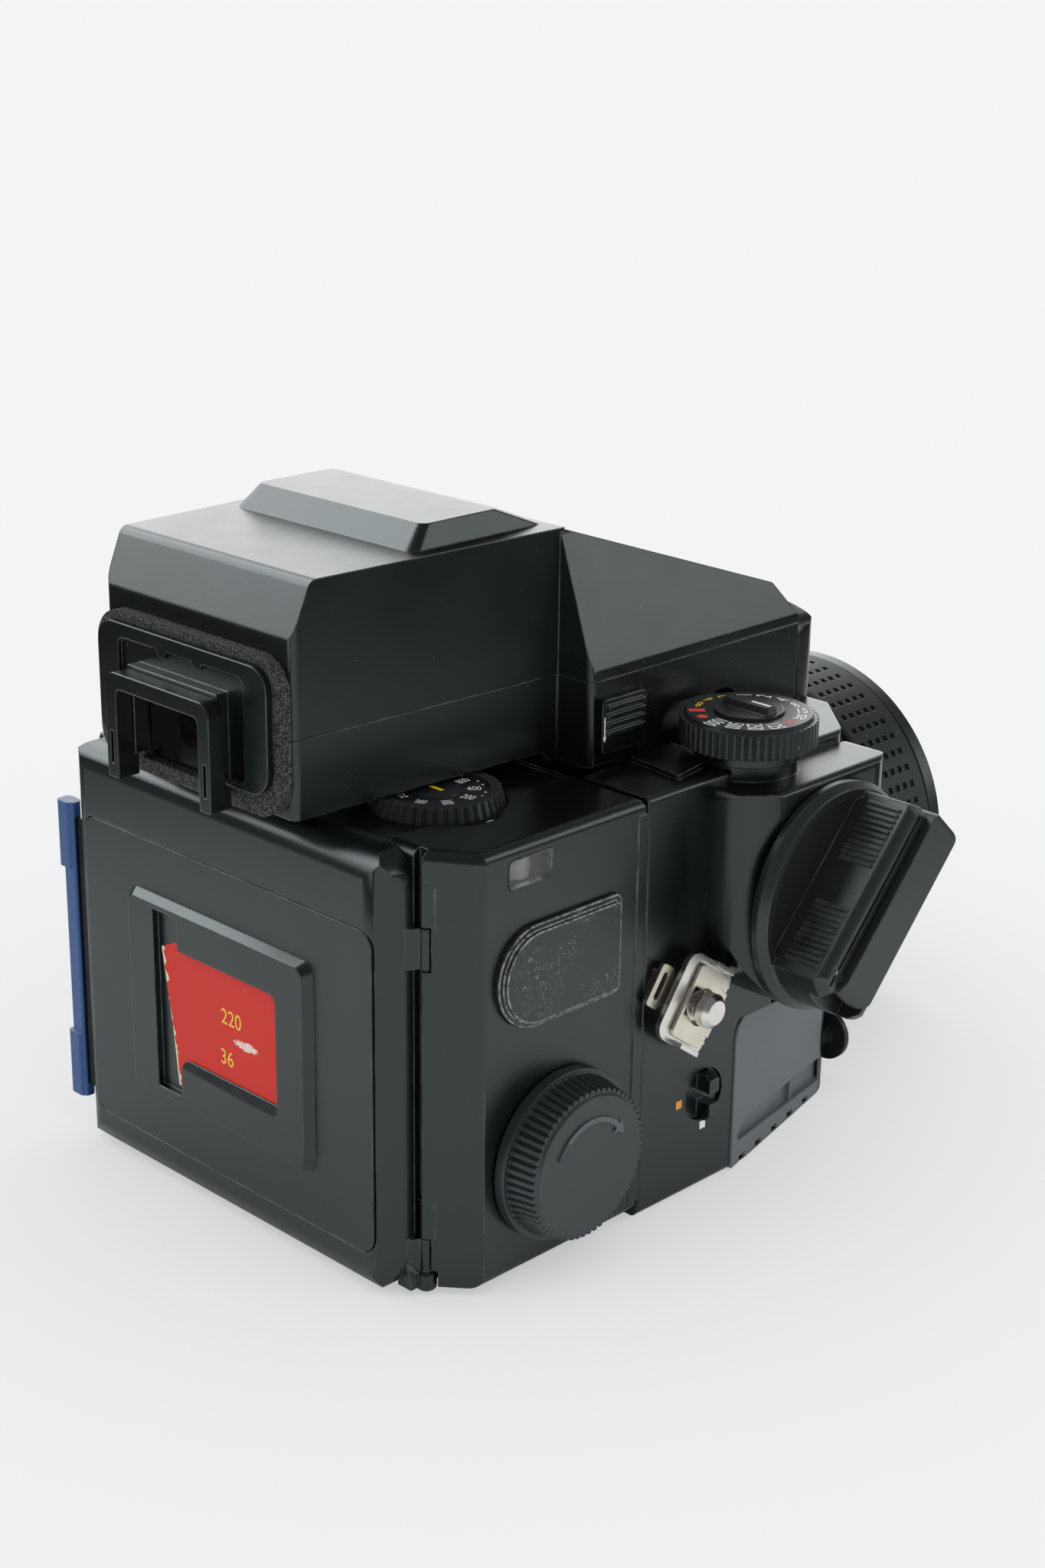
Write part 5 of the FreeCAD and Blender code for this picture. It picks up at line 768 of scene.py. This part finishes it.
def floor():
    """The table top: white paper, dark beyond its edges where gloss mirrors it."""
    mesh = bpy.data.meshes.new("table_top")
    half = TABLE_HALF
    mesh.from_pydata([(-half, -half, 0), (half, -half, 0), (half, half, 0), (-half, half, 0)], [],
                     [(0, 1, 2, 3)])
    piece = bpy.data.objects.new("table_top", mesh)
    bpy.context.scene.collection.objects.link(piece)
    material, tree, shader = new_material("white_paper_table")
    coords = add(tree, "ShaderNodeTexCoord").outputs["Object"]
    a = math.radians(VIEW_AZIMUTH)
    sideways = add(tree, "ShaderNodeVectorMath", {0: coords}, {1: (math.cos(a), math.sin(a), 0)},
                   operation="DOT_PRODUCT")
    distance = add(tree, "ShaderNodeMath", {0: sideways.outputs["Value"]}, operation="ABSOLUTE")
    beyond = add(tree, "ShaderNodeMapRange", {"Value": distance.outputs[0]},
                 {"From Min": PAPER_HALF - PAPER_BLUR, "From Max": PAPER_HALF + PAPER_BLUR})
    rays = add(tree, "ShaderNodeLightPath")
    dark = add(tree, "ShaderNodeMath", {0: beyond.outputs["Result"], 1: rays.outputs["Is Glossy Ray"]},
               operation="MULTIPLY")
    white = colour(PAPER)
    paper = mix_colour(tree, dark.outputs[0], white, colour(ROOM_DARK))
    dimmed = tuple(c * (1 - GLOW) for c in white[:3]) + (1.0,)
    shown = mix_colour(tree, rays.outputs["Is Camera Ray"], paper, dimmed)
    tree.links.new(shown, shader.inputs["Base Color"])
    shader.inputs["Emission Color"].default_value = white
    glow = add(tree, "ShaderNodeMath", {0: rays.outputs["Is Camera Ray"]}, {1: GLOW},
               operation="MULTIPLY")
    tree.links.new(glow.outputs[0], shader.inputs["Emission Strength"])
    shader.inputs["Roughness"].default_value = 0.7
    shader.inputs["Specular IOR Level"].default_value = 0.0
    mesh.materials.append(material)


floor()

# %% [markdown]
# The room gives an even white light. Mirrored by gloss it is mostly dim walls, so glossy rays see less
# of it.

# %% Room light
ROOM_LIGHT, ROOM_MIRRORED = 1.0, 0.16
world = bpy.data.worlds.new("soft_room")
bpy.context.scene.world = world
world.use_nodes = True
world.node_tree.nodes.clear()
rays = add(world.node_tree, "ShaderNodeLightPath")
level = add(world.node_tree, "ShaderNodeMapRange", {"Value": rays.outputs["Is Glossy Ray"]},
            {"To Min": ROOM_LIGHT, "To Max": ROOM_MIRRORED})
sky = add(world.node_tree, "ShaderNodeBackground", {"Strength": level.outputs["Result"]},
          {"Color": colour("fafbfc")})
add(world.node_tree, "ShaderNodeOutputWorld", {"Surface": sky.outputs["Background"]})

# %% Soft boxes
CENTRE = Vector((0.0, 0.0, 0.06))  # metres: what the soft boxes face


def soft_box(name, direction, distance, size, radiance):
    """A lamp that only reflections see; its radiance is what a perfect mirror would show."""
    light = bpy.data.lights.new(name, "AREA")
    light.shape = "RECTANGLE"
    light.size, light.size_y = size
    light.energy = radiance * math.pi * size[0] * size[1]
    holder = bpy.data.objects.new(name, light)
    bpy.context.scene.collection.objects.link(holder)
    holder.location = CENTRE + Vector(direction).normalized() * distance
    holder.rotation_euler = (CENTRE - holder.location).to_track_quat("-Z", "Y").to_euler()
    holder.visible_diffuse = False
    holder.visible_camera = False


soft_box("far_left", (-0.66, 0.75, 0.30), 1.4, (1.6, 1.0), 2.5)
soft_box("high_left", (-0.73, -0.21, 0.65), 1.3, (1.2, 1.0), 4.0)
soft_box("right_front", (0.73, 0.68, 0.3), 1.3, (0.7, 0.5), 2.0)
soft_box("left_rear", (-0.67, -0.71, 0.3), 1.3, (0.9, 0.5), 2.0)

# %% [markdown]
# The camera's place was solved from the photograph: from its parallel edges come the angles and the
# focal length, and from the known sizes the distance.

# %% Camera
VIEW_FROM = mm(303.8, -307.1, 215.6)
FOCAL_PIXELS, FRAME_HIGH = 3237.0, 2048    # the photograph's focal length and frame height in pixels
SENSOR = 36.0


def viewer():
    """The camera, turned by its three angles."""
    a, e, r = (math.radians(v) for v in (VIEW_AZIMUTH, VIEW_ELEVATION, VIEW_ROLL))
    back = Vector((math.sin(a) * math.cos(e), -math.cos(a) * math.cos(e), math.sin(e)))
    right = (-back).cross(UP).normalized()
    down = (-back).cross(right)
    across = right * math.cos(r) + down * math.sin(r)
    up = right * math.sin(r) - down * math.cos(r)
    data = bpy.data.cameras.new("viewer")
    data.sensor_fit = "VERTICAL"
    data.sensor_height = SENSOR
    data.lens = FOCAL_PIXELS / FRAME_HIGH * SENSOR
    data.clip_end = 20
    holder = bpy.data.objects.new("viewer", data)
    bpy.context.scene.collection.objects.link(holder)
    turn = Matrix((across, up, back)).transposed().to_4x4()
    holder.matrix_world = Matrix.Translation(VIEW_FROM) @ turn
    bpy.context.scene.camera = holder


viewer()
bpy.context.scene.view_settings.view_transform = "Standard"
